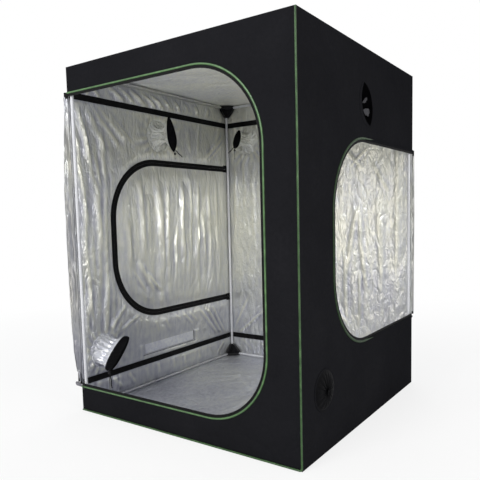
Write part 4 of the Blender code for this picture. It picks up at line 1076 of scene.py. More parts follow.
def add_frame(enamel, plastic, pocket):
    """Corner posts, rails and connectors; the side rails lie in pockets of lining."""
    bottom = FLOOR_RAIL_LEVEL + SOCKET_STOP + SEAM_GAP
    top = ROOF_RAIL_LEVEL - SOCKET_STOP - SEAM_GAP
    length = top - bottom
    middle = length / 2
    inner = POLE_RADIUS - POLE_WALL
    profile = [(0.0, POLE_RADIUS), (middle - 0.0028, POLE_RADIUS), (middle - 0.002, POLE_RADIUS - 0.0004),
               (middle, POLE_RADIUS - 0.0006), (middle + 0.0008, POLE_RADIUS - 0.0001),
               (middle + 0.0016, POLE_RADIUS), (length, POLE_RADIUS), (length, inner), (0.0, inner)]
    for side, sx in SIDES:
        for front, sy in ENDS:
            add_piece(f"corner_post_{front}_{side}",
                      *lathe(profile, (sx * FRAME_SIDE, sy * FRAME_SIDE, bottom), (0, 0, 1)), [enamel],
                      "white_pole", replaces=[f"post_{front}_{side}"])
            for level, sz, z in (("lower", 1, FLOOR_RAIL_LEVEL), ("upper", -1, ROOF_RAIL_LEVEL)):
                points, faces = connector_shape()
                points = points * np.array((-sx, -sy, sz)) + np.array((sx * FRAME_SIDE, sy * FRAME_SIDE, z))
                add_piece(f"corner_piece_{front}_{side}_{level}", points, faces, [plastic], "black_plastic",
                          replaces=[f"connector_{front}_{side}_{level}"])
    start = SOCKET_STOP + SEAM_GAP
    profile = tube_profile(2 * (FRAME_SIDE - start), POLE_RADIUS, POLE_WALL)
    for kind, z in (("floor_rail", FLOOR_RAIL_LEVEL), ("roof_rail", ROOF_RAIL_LEVEL)):
        for front, sy in ENDS:
            add_piece(f"{kind}_pole_{front}", *lathe(profile, (start - FRAME_SIDE, sy * FRAME_SIDE, z), (1, 0, 0)),
                      [enamel], "white_pole", replaces=[f"{kind}_{front}"])
        for side, sx in SIDES:
            add_piece(f"{kind}_pole_{side}", *lathe(profile, (sx * FRAME_SIDE, start - FRAME_SIDE, z), (0, 1, 0)),
                      # The side rails' pockets take the darker copy of the lining, painted shade
                      [pocket], "white_pole", replaces=[f"{kind}_{side}"])


def tube_profile(length, radius, wall):
    """The profile of a plain tube, for lathe."""
    return [(0.0, radius), (length, radius), (length, radius - wall), (0.0, radius - wall)]


def rounded_block(half, bevel):
    """A cube with rounded edges, as rings of a superellipse."""
    sides = 32
    rings = []
    for z, inset in ((-half, bevel), (-half + 0.3 * bevel, 0.35 * bevel), (-half + bevel, 0.0), (half - bevel, 0.0),
                     (half - 0.3 * bevel, 0.35 * bevel), (half, bevel)):
        reach = half - inset
        ring = []
        for i in range(sides):
            angle = math.tau * (i + 0.5) / sides
            c, s = math.cos(angle), math.sin(angle)
            size = reach / (abs(c) ** 9 + abs(s) ** 9) ** (1 / 9)
            ring.append((size * c, size * s, z))
        rings.append(ring)
    return skin(rings)


def connector_shape():
    """A three-way connector: block, ribbed sockets along +X, +Y and +Z, gussets between them."""
    parts = [rounded_block(CORE_HALF, CORE_BEVEL)]
    foot = CORE_HALF - 0.002
    lip = SOCKET_RADIUS + SOCKET_LIP
    end = SOCKET_LENGTH
    profile = [(foot, SOCKET_RADIUS), (end - 0.0068, SOCKET_RADIUS), (end - 0.006, lip), (end - 0.0008, lip),
               (end, lip - 0.0008), (end, SOCKET_BORE), (foot, SOCKET_BORE)]
    for way in ((1, 0, 0), (0, 1, 0), (0, 0, 1)):
        parts.append(lathe(profile, (0, 0, 0), way))
    root = CORE_HALF * 0.5
    brim = root + 0.016
    half = 0.0085
    corner = [(root, root), (GUSSET_LENGTH, root), (GUSSET_LENGTH, brim), (brim, GUSSET_LENGTH), (root, GUSSET_LENGTH)]
    for axes in ((0, 1, 2), (0, 2, 1), (1, 2, 0)):
        rings = np.zeros((2, len(corner), 3))
        rings[..., axes[0]], rings[..., axes[1]] = np.array(corner).T
        rings[..., axes[2]] = ((-half,), (half,))
        parts.append(skin(rings))
    return merge_solids(parts)


def add_roof_bar(enamel):
    """A lamp bar across the roof, with a hooked strip round the rail at each end."""
    end = FRAME_SIDE - POLE_RADIUS - SEAM_GAP - HOOK_STRIP / 2
    profile = tube_profile(2 * end, ROOF_BAR_RADIUS, ROOF_BAR_WALL)
    parts = [lathe(profile, (0, -end, ROOF_BAR_LEVEL), (0, 1, 0))]
    near = POLE_RADIUS + SEAM_GAP
    foot = ROOF_BAR_LEVEL - ROOF_BAR_RADIUS - HOOK_STRIP
    half = HOOK_WIDTH / 2
    for sign in (-1, 1):
        centre = sign * FRAME_SIDE
        strips = []
        for reach in (near + HOOK_STRIP, near):
            strip = [(centre - sign * reach, foot)]
            for i in range(17):
                angle = math.pi * i / 16
                strip.append((centre + reach * (-sign * math.cos(angle)), ROOF_RAIL_LEVEL + reach * math.sin(angle)))
            strips.append(strip + [(centre + sign * reach, ROOF_RAIL_LEVEL - HOOK_TAIL)])
        parts.append(skin([[(-half, *outer), (half, *outer), (half, *inner), (-half, *inner)]
                           for outer, inner in zip(*strips)]))
    add_piece("lamp_bar", *merge_solids(parts), [enamel], "white_pole", replaces=["roof_bar"])


# Duct sleeves

# A sleeve's materials, by the zone of its rings
SATIN, LINING, BLACK, SHADE = range(4)

SLIT_LEAN = math.radians(20)

# The slit mouth's lips: how far out they lie, their half length and half width
SLIT_LIP = 0.0016
SLIT_HALF_LENGTH = 0.116
SLIT_HALF_WIDTH = 0.068

# Where the lining shows in the slit: (s, z) round each glimpse
SLIT_GLIMPSES = (((0.806, 1.712), (0.792, 1.722), (0.766, 1.742), (0.742, 1.750), (0.738, 1.737), (0.772, 1.716)),
                 ((0.796, 1.678), (0.760, 1.690), (0.716, 1.694), (0.708, 1.676), (0.724, 1.652), (0.764, 1.656)))


def sleeve_rings(port, seed):
    """Rings of points from the gathered mouth outside, through the wall, to the lip of the hem inside, with zones."""
    angle = np.arange(SLEEVE_SIDES) * math.tau / SLEEVE_SIDES
    across, up = np.sin(angle), np.cos(angle)
    turn = angle / math.tau
    neck = PORT_RADIUS - SEAM_GAP
    rings, zones = [], []
    pointed = np.sign(across) * (1 - np.abs(up) ** 2.6)

    def ring(h, long_half, short_half, zone, swell=0.0, drop=0.0, lean=0.0, push=0.0, point=0.0):
        a = (across * (1 - point) + pointed * point) * (short_half + swell)
        b = up * (long_half + swell)
        s = port.along + b * math.sin(lean) + a * math.cos(lean)
        z = port.level + b * math.cos(lean) - a * math.sin(lean) - drop
        rings.append(on_wall(port.wall, s, z, h + push))
        zones.append(zone)

    crumples = pleat(turn * 17 + 0.4 * noise(seed + 3, turn * 6, 0.5), 0.85) - 0.45
    folds = pleat(turn * 17 + 0.3 * noise(seed, turn * 9, 0.5), 0.6) - 0.5
    fine = pleat(turn * 34 + 0.2 * noise(seed + 1, turn * 11, 0.5), 0.5) - 0.5
    if port.slit:
        for h, long_half, short_half, swell in (
                (-0.016, 0.060, 0.036, 0.002 * folds), (-0.010, 0.080, 0.056, 0.002 * folds),
                (-0.002, 0.0885, 0.060, 0.001 * fine), (0.0012, 0.092, 0.063, 0.0),
                (SLIT_LIP, SLIT_HALF_LENGTH, SLIT_HALF_WIDTH, 0.0)):
            ring(h, long_half, short_half, SHADE, swell, lean=SLIT_LEAN, point=1.0)
        for share in np.linspace(0.03, 1.0, 8):
            ring(SLIT_LIP, SLIT_HALF_LENGTH + 0.004 * share, SLIT_HALF_WIDTH + (neck - SLIT_HALF_WIDTH) * share, BLACK,
                 lean=SLIT_LEAN, point=1 - 0.6 * share)
    else:
        for out, radius, swell, push in ((0.004, 0.004, 0.001 * fine, 0.0), (0.006, 0.010, 0.004 * folds, 0.0),
                                         (0.0085, 0.0185, 0.006 * folds, 0.002 * fine),
                                         (0.002, 0.0125, 0.003 * folds, 0.0)):
            ring(port.reach + out, radius, radius, SATIN, swell, port.droop, push=push)
        for share in np.linspace(0.0, 1.0, 13):
            radius = MOUTH_RADIUS + (neck - MOUTH_RADIUS) * share
            height = 0.0035 + (port.reach - 0.0035) * (1 - share ** 2.6) ** 0.8
            depth = (1 - share) ** 0.6 * min(share + 0.35, 1.0)
            ring(height, radius, radius, SATIN, 0.005 * folds * (1 - share), port.droop * (1 - share ** 1.5),
                 push=0.006 * depth * folds + 0.003 * (1 - share) * fine)
    rim = PORT_RIM
    if port.slit:
        for h in (0.0014, SEAM_GAP):
            ring(h, SLIT_HALF_LENGTH + 0.006, rim, BLACK, lean=SLIT_LEAN, point=0.4)
    else:
        for h, radius in ((0.0035, rim - 0.001), (0.0022, rim), (SEAM_GAP, rim)):
            ring(h, radius, radius, BLACK)
    for h in (SEAM_GAP, -INNER_EDGE):
        ring(h, neck, neck, LINING)
    ragged = noise(seed + 7, turn * 13, 0.5)
    for inside, wider, swell, push in ((0.0003, 0.013, 0.007, 0.0), (0.0010, 0.0125, 0.007, 0.0),
                                       (0.0026, 0.002, 0.004, -0.003 * (crumples + 0.45))):
        ring(-INNER_EDGE - inside, neck + wider, neck + wider, LINING, swell * ragged, push=push)
    wide = port.hem_width
    root = SLEEVE_INSIDE - wide
    flat = np.where(up > -0.3, (up + 0.3) / 1.3, (up + 0.3) / 0.7)
    leaf = 0.1 + 0.9 * np.cos(math.pi / 2 * flat) ** port.blunt
    tuck = 0.4 * wide * (1 - leaf)
    middle = 0.55
    for share in np.linspace(0.06, 0.95, 16):
        if share < middle:
            long_half = port.waist + (neck - port.waist) * abs(1 - share / middle) ** 3
        else:
            long_half = port.waist + (port.hem_half - port.waist) * ((share - middle) / 0.45) ** 1.6
        short_half = HEM_ROOT_HALF - 0.002 + (neck - HEM_ROOT_HALF + 0.002) * (1 - share) ** 3
        rough = port.rough * noise(seed + 5, turn * 14 + share * 2, share * 5)
        slack = 4 * share * (1 - share)
        ring(-INNER_EDGE - (root - INNER_EDGE) * share, long_half, short_half, LINING,
             (0.006 * crumples + rough) * slack, lean=port.lean,
             push=-tuck * share + 0.5 * (rough - port.rough * crumples) * slack)
    tight = pleat(turn * 26, 0.7) - 0.5
    for depth, narrower, zone in ((-root + SEAM_GAP, 0.003, LINING), (-root, 0.0006, SATIN)):
        ring(depth, port.hem_half - narrower, HEM_ROOT_HALF - narrower, zone, lean=port.lean, push=-tuck)
    for share in (0.06, 0.2, 0.4, 0.6, 0.8, 0.93, 1.0):
        half = HEM_ROOT_HALF + (HEM_LIP_HALF - HEM_ROOT_HALF) * share
        depth = -root - (wide * leaf + tuck) * share - tuck * (1 - share)
        gather = (0.0034 if share in (0.2, 0.6, 0.93) else 0.0012) * tight
        ring(depth, port.hem_half, half, SATIN, gather * share ** 0.5, lean=port.lean, push=0.5 * gather)
    for pinch, beyond in ((0.004, 0.0022), (0.0075, 0.003), (0.0095, 0.001)):
        ring(-root - wide * leaf - tuck - beyond, port.hem_half - pinch, HEM_LIP_HALF - pinch, SATIN,
             (0.0008 if pinch < 0.009 else 0.0) * tight, lean=port.lean)
    return rings, zones


def add_sleeves(satin, foil, cone_foil_painted_light, black, shade):
    """The five ports' sleeves: satin hems and mouths, lining, black rims and the dark of the slit."""
    for k, (name, port) in enumerate(PORTS.items()):
        rings, zones = sleeve_rings(port, 1000 + 10 * k)
        points, faces = skin(rings)
        sides = []
        for a, b in zip(zones, zones[1:]):
            sides += [a if a == b else BLACK if BLACK in (a, b) else SATIN] * SLEEVE_SIDES
        # The lower left cone takes the lighter copy of the lining, painted light
        add_piece(f"duct_sleeve_cloth_{name}", points, faces,
                  [satin, cone_foil_painted_light if name == "left_lower" else foil, black, shade], "sleeve_satin",
                  replaces=[f"duct_sleeve_{name}"], indices=sides + [SHADE if port.slit else SATIN, SATIN])


def add_glimpses(lining):
    """The crumpled lining that shows inside the slit mouth, dark grey in painted shade."""
    parts = []
    for k, outline in enumerate(SLIT_GLIMPSES):
        outline = np.array(outline)
        around = np.linspace(0, len(outline), 48, endpoint=False)
        closed = np.vstack((outline, outline[:1]))
        s = np.interp(around, range(len(closed)), closed[:, 0])
        z = np.interp(around, range(len(closed)), closed[:, 1])
        centre = outline.mean(0)
        rings = [on_wall("right", centre[0] + (s - centre[0]) * 0.95, centre[1] + (z - centre[1]) * 0.95, -0.009)]
        for share in (1.0, 0.85, 0.65, 0.45, 0.25, 0.06):
            ps, pz = centre[0] + (s - centre[0]) * share, centre[1] + (z - centre[1]) * share
            rings.append(on_wall("right", ps, pz, -0.0055 + 0.006 * crumple(1401 + k, ps, pz, 0.03)))
        parts.append(skin(rings))
    add_piece("sleeve_slit_lining", *merge(*parts), [lining], "silver_lining")


# Drawcords and cord locks

def add_cords(braid, plastic):
    """The three drawcords that hang from inner hems, each with its knot and its sliding lock."""
    for name, port in PORTS.items():
        if not port.cord_tail:
            continue
        top = port.hem_tip() - np.array((0, 0, SEAM_GAP))
        count = 16
        curve = bpy.data.curves.new(f"cord_{name}", "CURVE")
        curve.dimensions = "3D"
        curve.bevel_depth = CORD_DIAMETER / 2
        curve.bevel_resolution = 4
        curve.use_fill_caps = True
        line = curve.splines.new("POLY")
        line.points.add(count)
        for i, point in enumerate(line.points):
            point.co = (top[0], top[1], top[2] - port.cord_tail * i / count, 1.0)
        curve.materials.append(braid)
        cord = add_object(f"cord_{name}", curve)
        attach(cord, "root")
        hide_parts(f"drawcord_{name}")
        loop = knot_loop(top - np.array((0, 0, port.cord_tail - 0.001)))
        knot = add_piece(f"cord_knot_{name}", *merge(loop, tube(second_strand(port, top), 0.003, 10)), [braid],
                         "black_cord")
        lock = add_lock(name, top, plastic)


def knot_loop(centre):
    """A small overhand knot as one closed tube."""
    around = np.linspace(0, math.tau, 40, endpoint=False)
    swing = 0.0021
    loop = np.stack((swing * np.cos(2 * around) * (1 + 0.3 * np.cos(3 * around)),
                     swing * np.sin(2 * around) * (1 + 0.3 * np.cos(3 * around)), 0.0013 * np.sin(3 * around)), -1)
    return tube(loop + centre, 0.0013, 8, closed=True)


def second_strand(port, top):
    """The cord's other strand: beside a long tail it hangs parallel, and from a short one it lifts away."""
    inward, aside = (np.array(on_wall(port.wall, *way)) - on_wall(port.wall, 0, 0, 0)
                     for way in ((0, 0, -1), (-1, 0, 0)))
    if port.cord_tail > 0.1:
        strand = [top + inward * (0.003 + 0.0008 * k) + aside * (0.0035 + 0.0012 * math.sin(1.1 * k))
                  - np.array((0, 0, 0.0085 * k - 0.006)) for k in range(14)]
    else:
        strand = [top + inward * (0.010 + 0.004 * k) + aside * (0.006 * k + 0.004 * math.sin(1.7 * k))
                  - np.array((0, 0, 0.007 * k - 0.006)) for k in range(7)]
    return [strand[0] + (0, 0, 0.004)] + strand


def add_lock(name, top, plastic):
    """A barrel with grip ribs round a bore, and a sprung button on its top."""
    foot = (top[0], top[1], top[2] - LOCK_DROP - LOCK_HEIGHT)
    shoulder = LOCK_RADIUS * 0.8
    profile = [(0.0, LOCK_BORE), (0.0, shoulder), (0.0012, LOCK_RADIUS - 0.0006), (0.0026, LOCK_RADIUS)]
    for k in range(3):
        low = 0.0034 + 0.0022 * k
        profile += [(low, LOCK_RADIUS), (low + 0.0004, LOCK_RADIUS - 0.0007), (low + 0.001, LOCK_RADIUS - 0.0007),
                    (low + 0.0014, LOCK_RADIUS)]
    profile += [(0.0102, LOCK_RADIUS), (0.0112, shoulder), (0.0114, shoulder - 0.001), (0.0134, shoulder - 0.001),
                (LOCK_HEIGHT, shoulder - 0.0016), (LOCK_HEIGHT, LOCK_BORE)]
    return add_piece(f"lock_barrel_{name}", *lathe(profile, foot, (0, 0, 1)), [plastic], "black_plastic",
                     f"lock_{name}", [f"cord_lock_{name}"])


# Vent, zip sliders and floor mat

def add_vent(foil, webbing, netting):
    """The flap inside, which hinges on its upper edge, dark strips of painted shadow under and beside it, and the
    netting with its frame outside.
    """
    (s0, s1), (z0, z1) = VENT_SPAN, VENT_RISE
    s, z = np.meshgrid(np.linspace(s0, s1, 60), np.linspace(z0, z1, 9), indexing="ij")
    sway = 0.0012 * ramp((z1 - z) / 0.05) * (1 + noise(1201, s / 0.06, z / 0.2))
    near = on_wall("left", s, z, -INNER_EDGE - 0.0002 - 0.2 * sway)
    far = on_wall("left", s, z, -INNER_EDGE - FLAP_THICKNESS - sway)
    points = np.vstack((near.reshape(-1, 3), far.reshape(-1, 3)))
    # The flap takes the lighter copy of the lining, painted light
    flap = add_piece("vent_flap_cloth", points, plate_faces(s.shape), [foil], "silver_lining", "vent_flap",
                     ["vent_flap"])
    # Painted shadow: dark strips under the flap's lower edge and beside its end
    line = -INNER_EDGE - 0.0005
    shadow_lines = (slab("left", (s0 - 0.03, z0 - 0.0125), (s1 + 0.03, z0 - 0.0095), line, -0.001),
             slab("left", (s0 - 0.0065, z0 - 0.004), (s0 - 0.002, z1 + 0.002), line, -0.0022))
    add_piece("vent_shadow_line", *merge_solids(shadow_lines), [webbing], "black_webbing", smooth=False)
    margin, pitch, thread = 0.013, 0.004, 0.0007
    left, right, low, high = s0 + margin, s1 - margin, z0 + margin, z1 - margin
    rims = (((s0, high), (s1, z1)), ((s0, z0), (s1, low)), ((s0, low), (left, high)), ((right, low), (s1, high)))
    add_piece("vent_frame", *merge(*(slab("left", *rim, 0.0002, 0.0012) for rim in rims)), [webbing],
              "black_webbing", smooth=False)
    threads = [slab("left", (a, low), (a + thread, high), 0.0001, 0.0006) for a in np.arange(left, right, pitch)]
    threads += [slab("left", (left, b), (right, b + thread), 0.0002, 0.0006) for b in np.arange(low, high, pitch)]
    add_piece("vent_netting", *merge(*threads), [netting], "black_webbing", smooth=False)


# A zip slider: heights and insets of its body's rings, half its body, its bridge (v, h) and its pull's tail (u, v)
SLIDER_RINGS = ((0.0, 0.0006), (0.0006, 0.0), (0.0018, 0.0), (0.0028, 0.0006), (0.003, 0.0014))
SLIDER_HALF = (0.00375, 0.0045)
SLIDER_BRIDGE = ((-0.0028, 0.0), (-0.0026, 0.0012), (-0.0014, 0.0018), (0.0, 0.0019), (0.0014, 0.0018),
                 (0.0026, 0.0012), (0.0028, 0.0))
SLIDER_TAIL = ((-0.0022, -0.008), (-0.0028, -0.016), (-0.003, -0.0255), (-0.0015, -0.0272), (0.0015, -0.0272),
               (0.003, -0.0255), (0.0028, -0.016), (0.0022, -0.008))
SLIDER_WIRE = 0.0006


def add_sliders(metal):
    """Zip sliders: a rounded body with a bridge, and a pull with a hole that hangs from it."""
    across = (TAPE_OUTSIDE - SEAM_GAP) / 2
    base = TAPE + 2 * SEAM_GAP
    for name, level in (("front", DOORWAYS["front"].sill - across), ("right", DOORWAYS["right"].sill - across),
                        ("left", DOORWAYS["left"].head + across)):
        s = DOORWAYS[name].hinge + SLIDER_PARK
        turns = [math.tau * i / 24 for i in range(24)]
        body = skin([[on_wall(name, s + (SLIDER_HALF[0] - inset) * blunt(math.cos(angle), 0.5),
                              level + (SLIDER_HALF[1] - inset) * blunt(math.sin(angle), 0.5), base + h)
                      for angle in turns] for h, inset in SLIDER_RINGS])
        bridge = tube([on_wall(name, s, level + v, base + 0.0027 + h) for v, h in SLIDER_BRIDGE], SLIDER_WIRE, 8)
        loop = []
        for i in range(28):
            angle = math.tau * i / 28
            wide = 0.0032 if math.sin(angle) < 0 else 0.0021
            loop.append(on_wall(name, s + wide * blunt(math.cos(angle), 0.6),
                                level + (-0.0135 + 0.0135 * blunt(math.sin(angle), 0.8)) - 0.0005, base + 0.0042))
        tail = skin([[on_wall(name, s + u, level + v, base + h) for u, v in SLIDER_TAIL] for h in (0.0038, 0.0046)])
        add_piece(f"{name}_slider_body", *merge_solids((body, bridge, tube(loop, SLIDER_WIRE, 8, closed=True), tail)),
                  [metal], "zip_metal", f"{name}_slider", [f"{name}_zip_slider"])


def add_mat(foil):
    """The loose floor mat, wrinkled where it has been folded, with a sewn hem."""
    step = 0.012
    line = np.linspace(-MAT_HALF, MAT_HALF, round(2 * MAT_HALF / step) + 1)
    x, y = np.meshgrid(line, line, indexing="ij")
    edge = MAT_HALF - np.maximum(np.abs(x), np.abs(y))
    calm = ramp((edge - 0.02) / 0.12)
    relief = 0.004 * crumple(1301, x + 2, y + 2, 0.24) + 0.0022 * crumple(1311, x + 2, y + 2, 0.1)
    for across, along, seed in ((x, y, 1321), (y, x, 1331)):
        relief = relief + 0.003 * np.clip(1 - np.abs(across + 0.012 * noise(seed, along / 0.3, 0)) / 0.012, 0, 1)
    top = INNER_EDGE + MAT_THICKNESS + calm * relief + 0.0008 * ramp((0.012 - edge) / 0.003)
    upper = np.stack((x, y, top), -1).reshape(-1, 3)
    lower = np.stack((x, y, np.full(x.shape, INNER_EDGE)), -1).reshape(-1, 3)
    piece = add_piece("floor_mat_cloth", np.vstack((upper, lower)), plate_faces(x.shape), [foil], "silver_lining",
                      replaces=["floor_mat"])


# Materials

class Paint:
    """A material's nodes, added one by one round its shader."""

    def __init__(self, name, **sockets):
        self.material = bpy.data.materials.new(name)
        self.material.use_nodes = True
        self.tree = self.material.node_tree
        self.shader = self.tree.nodes["Principled BSDF"]
        self.where = self.node("ShaderNodeTexCoord").outputs["Object"]
        for key, value in sockets.items():
            self.shader.inputs[key.replace("_", " ")].default_value = value

    def node(self, kind, inputs=(), **settings):
        """A node with its settings, and with its inputs linked to sockets or set to values."""
        made = self.tree.nodes.new(kind)
        for key, value in settings.items():
            setattr(made, key, value)
        for key, value in dict(inputs).items():
            if isinstance(value, bpy.types.NodeSocket):
                self.tree.links.new(value, made.inputs[key])
            else:
                made.inputs[key].default_value = value
        return made

    def stretched(self, scale):
        return self.node("ShaderNodeMapping", {"Vector": self.where, "Scale": scale}).outputs["Vector"]

    def noise(self, scale, detail=3.0, rough=0.5, where=None, distortion=0.0):
        made = self.node("ShaderNodeTexNoise", {
            "Vector": where or self.where, "Scale": scale, "Detail": detail, "Roughness": rough,
            "Distortion": distortion})
        return made.outputs["Fac"]

    def bands(self, scale, direction):
        made = self.node("ShaderNodeTexWave", {"Vector": self.where, "Scale": scale, "Distortion": 0.0},
                         wave_type="BANDS", bands_direction=direction, wave_profile="SIN")
        return made.outputs["Fac"]

    def maths(self, operation, a, b=0.0, c=0.0):
        return self.node("ShaderNodeMath", {0: a, 1: b, 2: c}, operation=operation).outputs[0]

    def blend(self, share, a, b):
        return self.node("ShaderNodeMix", {"Factor": share, "A": a, "B": b}, data_type="FLOAT").outputs[0]

    def colours(self, share, *stops):
        made = self.node("ShaderNodeValToRGB", {"Fac": share})
        points = made.color_ramp.elements
        while len(points) < len(stops):
            points.new(0.5)
        for point, (place, colour) in zip(points, stops):
            point.position = place
            point.color = (*colour, 1.0)
        return made.outputs["Color"]

    def levels(self, share, low, high, start=0.0, end=1.0):
        made = self.node("ShaderNodeMapRange", {"Value": share, "From Min": start, "From Max": end,
                                                "To Min": low, "To Max": high})
        return made.outputs["Result"]

    def ridges(self, scales, slopes, where=None):
        """Facets between sharp creases at several sizes, as a height in metres with the given slopes."""
        total = 0.0
        for k, (scale, slope) in enumerate(zip(scales, slopes)):
            wander = self.noise(scale, 0.0, 0.5, where, 0.35 + 0.2 * k)
            folded = self.maths("ABSOLUTE", self.maths("SUBTRACT", wander, 0.5))
            total = self.maths("MULTIPLY_ADD", folded, slope * 2 / scale, total)
        return total

    def bump(self, height, strength, distance, under=None):
        inputs = {"Height": height, "Strength": strength, "Distance": distance}
        if under is not None:
            inputs["Normal"] = under
        return self.node("ShaderNodeBump", inputs).outputs["Normal"]

    def set(self, **links):
        """Links sockets to the shader's inputs, and gives the material."""
        for key, value in links.items():
            self.tree.links.new(value, self.shader.inputs[key.replace("_", " ")])
        return self.material

    def finish(self, wear, stops, rough, relief, strength, distance, level=1.0, under=None):
        """Colour and roughness that follow the wear, over a fine relief; gives the material."""
        return self.set(Base_Color=self.colours(wear, *tinted(level, *stops)), Roughness=self.levels(wear, *rough),
                        Normal=self.bump(relief, strength, distance, under))


def tinted(level, *stops):
    """Colour stops, all made lighter or darker alike."""
    return [(place, tuple(level * c for c in colour)) for place, colour in stops]


def weave(paint, scale):
    """A woven relief along all three axes."""
    total = paint.bands(scale, "X")
    total = paint.maths("ADD", total, paint.bands(scale, "Y"))
    return paint.maths("ADD", total, paint.bands(scale, "Z"))


def black_cloth():
    paint = Paint("black_oxford", Metallic=0.0, Specular_IOR_Level=0.0)
    wear = paint.noise(2.3, 4.0, 0.6)
    mixed = paint.blend(0.35, wear, paint.noise(60.0, 2.0))
    colour = paint.colours(mixed, (0.3, (0.0100, 0.0101, 0.0118)), (0.55, (0.0122, 0.0123, 0.0143)),
                           (0.75, (0.0154, 0.0154, 0.0176)))
    rough = paint.levels(wear, 0.5, 0.66)
    soft = paint.bump(paint.ridges((5.0, 13.0), (0.05, 0.035)), 1.0, 1.0)
    return paint.set(Base_Color=colour, Roughness=rough, Normal=paint.bump(weave(paint, 190.0), 0.12, 0.0004, soft))


# Linings: the slopes of their creases at three sizes, their stretch along z, brightness, lilac share and metal share;
# the roof, cone and flap copies are painted lighter (painted light) and the strip and pocket copies darker (painted
# shade)
FOILS = {
    "silver_foil": ((0.06, 0.09, 0.13), 0.45, 1.0, 0.0, 0.6),
    "door_foil": ((0.09, 0.09, 0.08), 0.35, 1.0, 0.0, 0.6),
    "strip_foil_painted_shade": ((0.34, 0.34, 0.22), 0.2, 0.50, 0.05, 0.6),
    "roof_foil_painted_light": ((0.04, 0.05, 0.05), 1.0, 1.34, 0.02, 0.15),
    "pocket_foil_painted_shade": ((0.04, 0.05, 0.05), 1.0, 0.8, 0.02, 0.6),
    "floor_foil": ((0.07, 0.08, 0.06), 1.0, 1.0, 0.04, 0.6),
    "sleeve_foil": ((0.15, 0.20, 0.18), 1.0, 1.04, 0.02, 0.6),
    "cone_foil_painted_light": ((0.07, 0.08, 0.08), 1.0, 1.22, 0.06, 0.4),
    "flap_foil_painted_light": ((0.03, 0.05, 0.05), 1.0, 1.42, 0.06, 0.6),
}
# The dark bluish end of these stops carries painted shade and the creamy end painted highlight, over random tone
FOIL_STOPS = ((0.02, (0.33, 0.335, 0.40)), (0.22, (0.475, 0.485, 0.545)), (0.44, (0.595, 0.605, 0.61)),
              (0.62, (0.665, 0.67, 0.62)), (0.80, (0.715, 0.71, 0.635)))
STREAK_SCALE = 46.0


def silver_foil(name):
    """Silver lining: crumpled at three sizes, with painted shade (bluish) in its creases and painted highlight
    (creamy) where it stands proud, and darker and bluer low down.
    """
    slopes, stretch, level, lilac, metallic = FOILS[name]
    paint = Paint(name, Metallic=metallic, Specular_IOR_Level=0.5)
    relief = paint.ridges((7.0, 19.0, 52.0), slopes, paint.stretched((1.0, 1.0, stretch)))
    patches = paint.noise(2.4, 3.0, 0.55)
    place = paint.node("ShaderNodeSeparateXYZ", {"Vector": paint.where}).outputs
    rise = paint.levels(place["Z"], -0.12 - lilac, 0.10 - lilac, 0.15, 0.85)
    # Painted shade: darker towards the front of the tent
    rise = paint.maths("ADD", rise, paint.levels(place["Y"], -0.17, 0.0, -0.7, 0.25))
    mixed = paint.maths("ADD", paint.blend(0.3, patches, paint.noise(26.0, 3.0, 0.6)), rise)
    # Painted shade in the lining's creases and painted highlight on its crests, read from the fold attribute
    fold = paint.node("ShaderNodeAttribute", attribute_name="fold").outputs["Fac"]
    mixed = paint.maths("MULTIPLY_ADD", fold, 0.32, mixed)
    # Fine vertical streaks of colour: painted shade and highlight of small wrinkles
    fine = paint.stretched((STREAK_SCALE, STREAK_SCALE, STREAK_SCALE * stretch * stretch))
    streaks = paint.maths("SUBTRACT", paint.noise(1.0, 3.0, 0.6, fine), 0.5)
    mixed = paint.maths("MULTIPLY_ADD", streaks, 0.55, mixed)
    rough = paint.levels(paint.noise(17.0, 3.0), 0.26, 0.42)
    return paint.set(Base_Color=paint.colours(mixed, *tinted(level, *FOIL_STOPS)), Roughness=rough,
                     Normal=paint.bump(relief, 1.0, 1.0))


def webbing_tape(name="black_webbing_tape", level=1.0):
    paint = Paint(name, Specular_IOR_Level=0.12)
    stops = ((0.3, (0.0030, 0.0030, 0.0034)), (0.7, (0.0062, 0.0062, 0.007)))
    return paint.finish(paint.noise(22.0, 3.0), stops, (0.6, 0.8), weave(paint, 330.0), 0.35, 0.0005, level)


def green_twill(name="green_twill", level=1.0):
    paint = Paint(name, Specular_IOR_Level=0.6 * level)
    stops = ((0.3, (0.035, 0.095, 0.026)), (0.55, (0.058, 0.145, 0.044)), (0.75, (0.10, 0.21, 0.075)))
    return paint.finish(paint.noise(30.0, 3.0), stops, (0.28, 0.42), weave(paint, 420.0), 0.2, 0.0004, level)


def white_enamel():
    paint = Paint("white_enamel", Specular_IOR_Level=0.5, Coat_Weight=0.2)
    stops = ((0.3, (0.54, 0.55, 0.58)), (0.6, (0.60, 0.61, 0.64)), (0.8, (0.64, 0.65, 0.67)))
    return paint.finish(paint.noise(7.0, 4.0, 0.6), stops, (0.22, 0.36), paint.noise(240.0, 2.0), 0.05, 0.0003)


def black_plastic():
    paint = Paint("black_moulding", Specular_IOR_Level=0.3)
    stops = ((0.3, (0.006, 0.006, 0.007)), (0.7, (0.012, 0.012, 0.014)))
    return paint.finish(paint.noise(36.0, 3.0), stops, (0.4, 0.58), paint.noise(420.0, 2.0), 0.25, 0.0003)


def sleeve_satin(name="sleeve_satin_cloth", gloss=0.03, level=1.0):
    paint = Paint(name, Specular_IOR_Level=gloss)
    stops = ((0.3, (0.0022, 0.0022, 0.0026)), (0.7, (0.005, 0.005, 0.006)))
    under = paint.bump(paint.noise(1.0, 4.0, 0.6, paint.stretched((70.0, 70.0, 30.0))), 0.4, 0.002)
    return paint.finish(paint.noise(12.0, 4.0, 0.6), stops, (0.4, 0.56), weave(paint, 420.0), 0.15, 0.0003, level,
                        under)


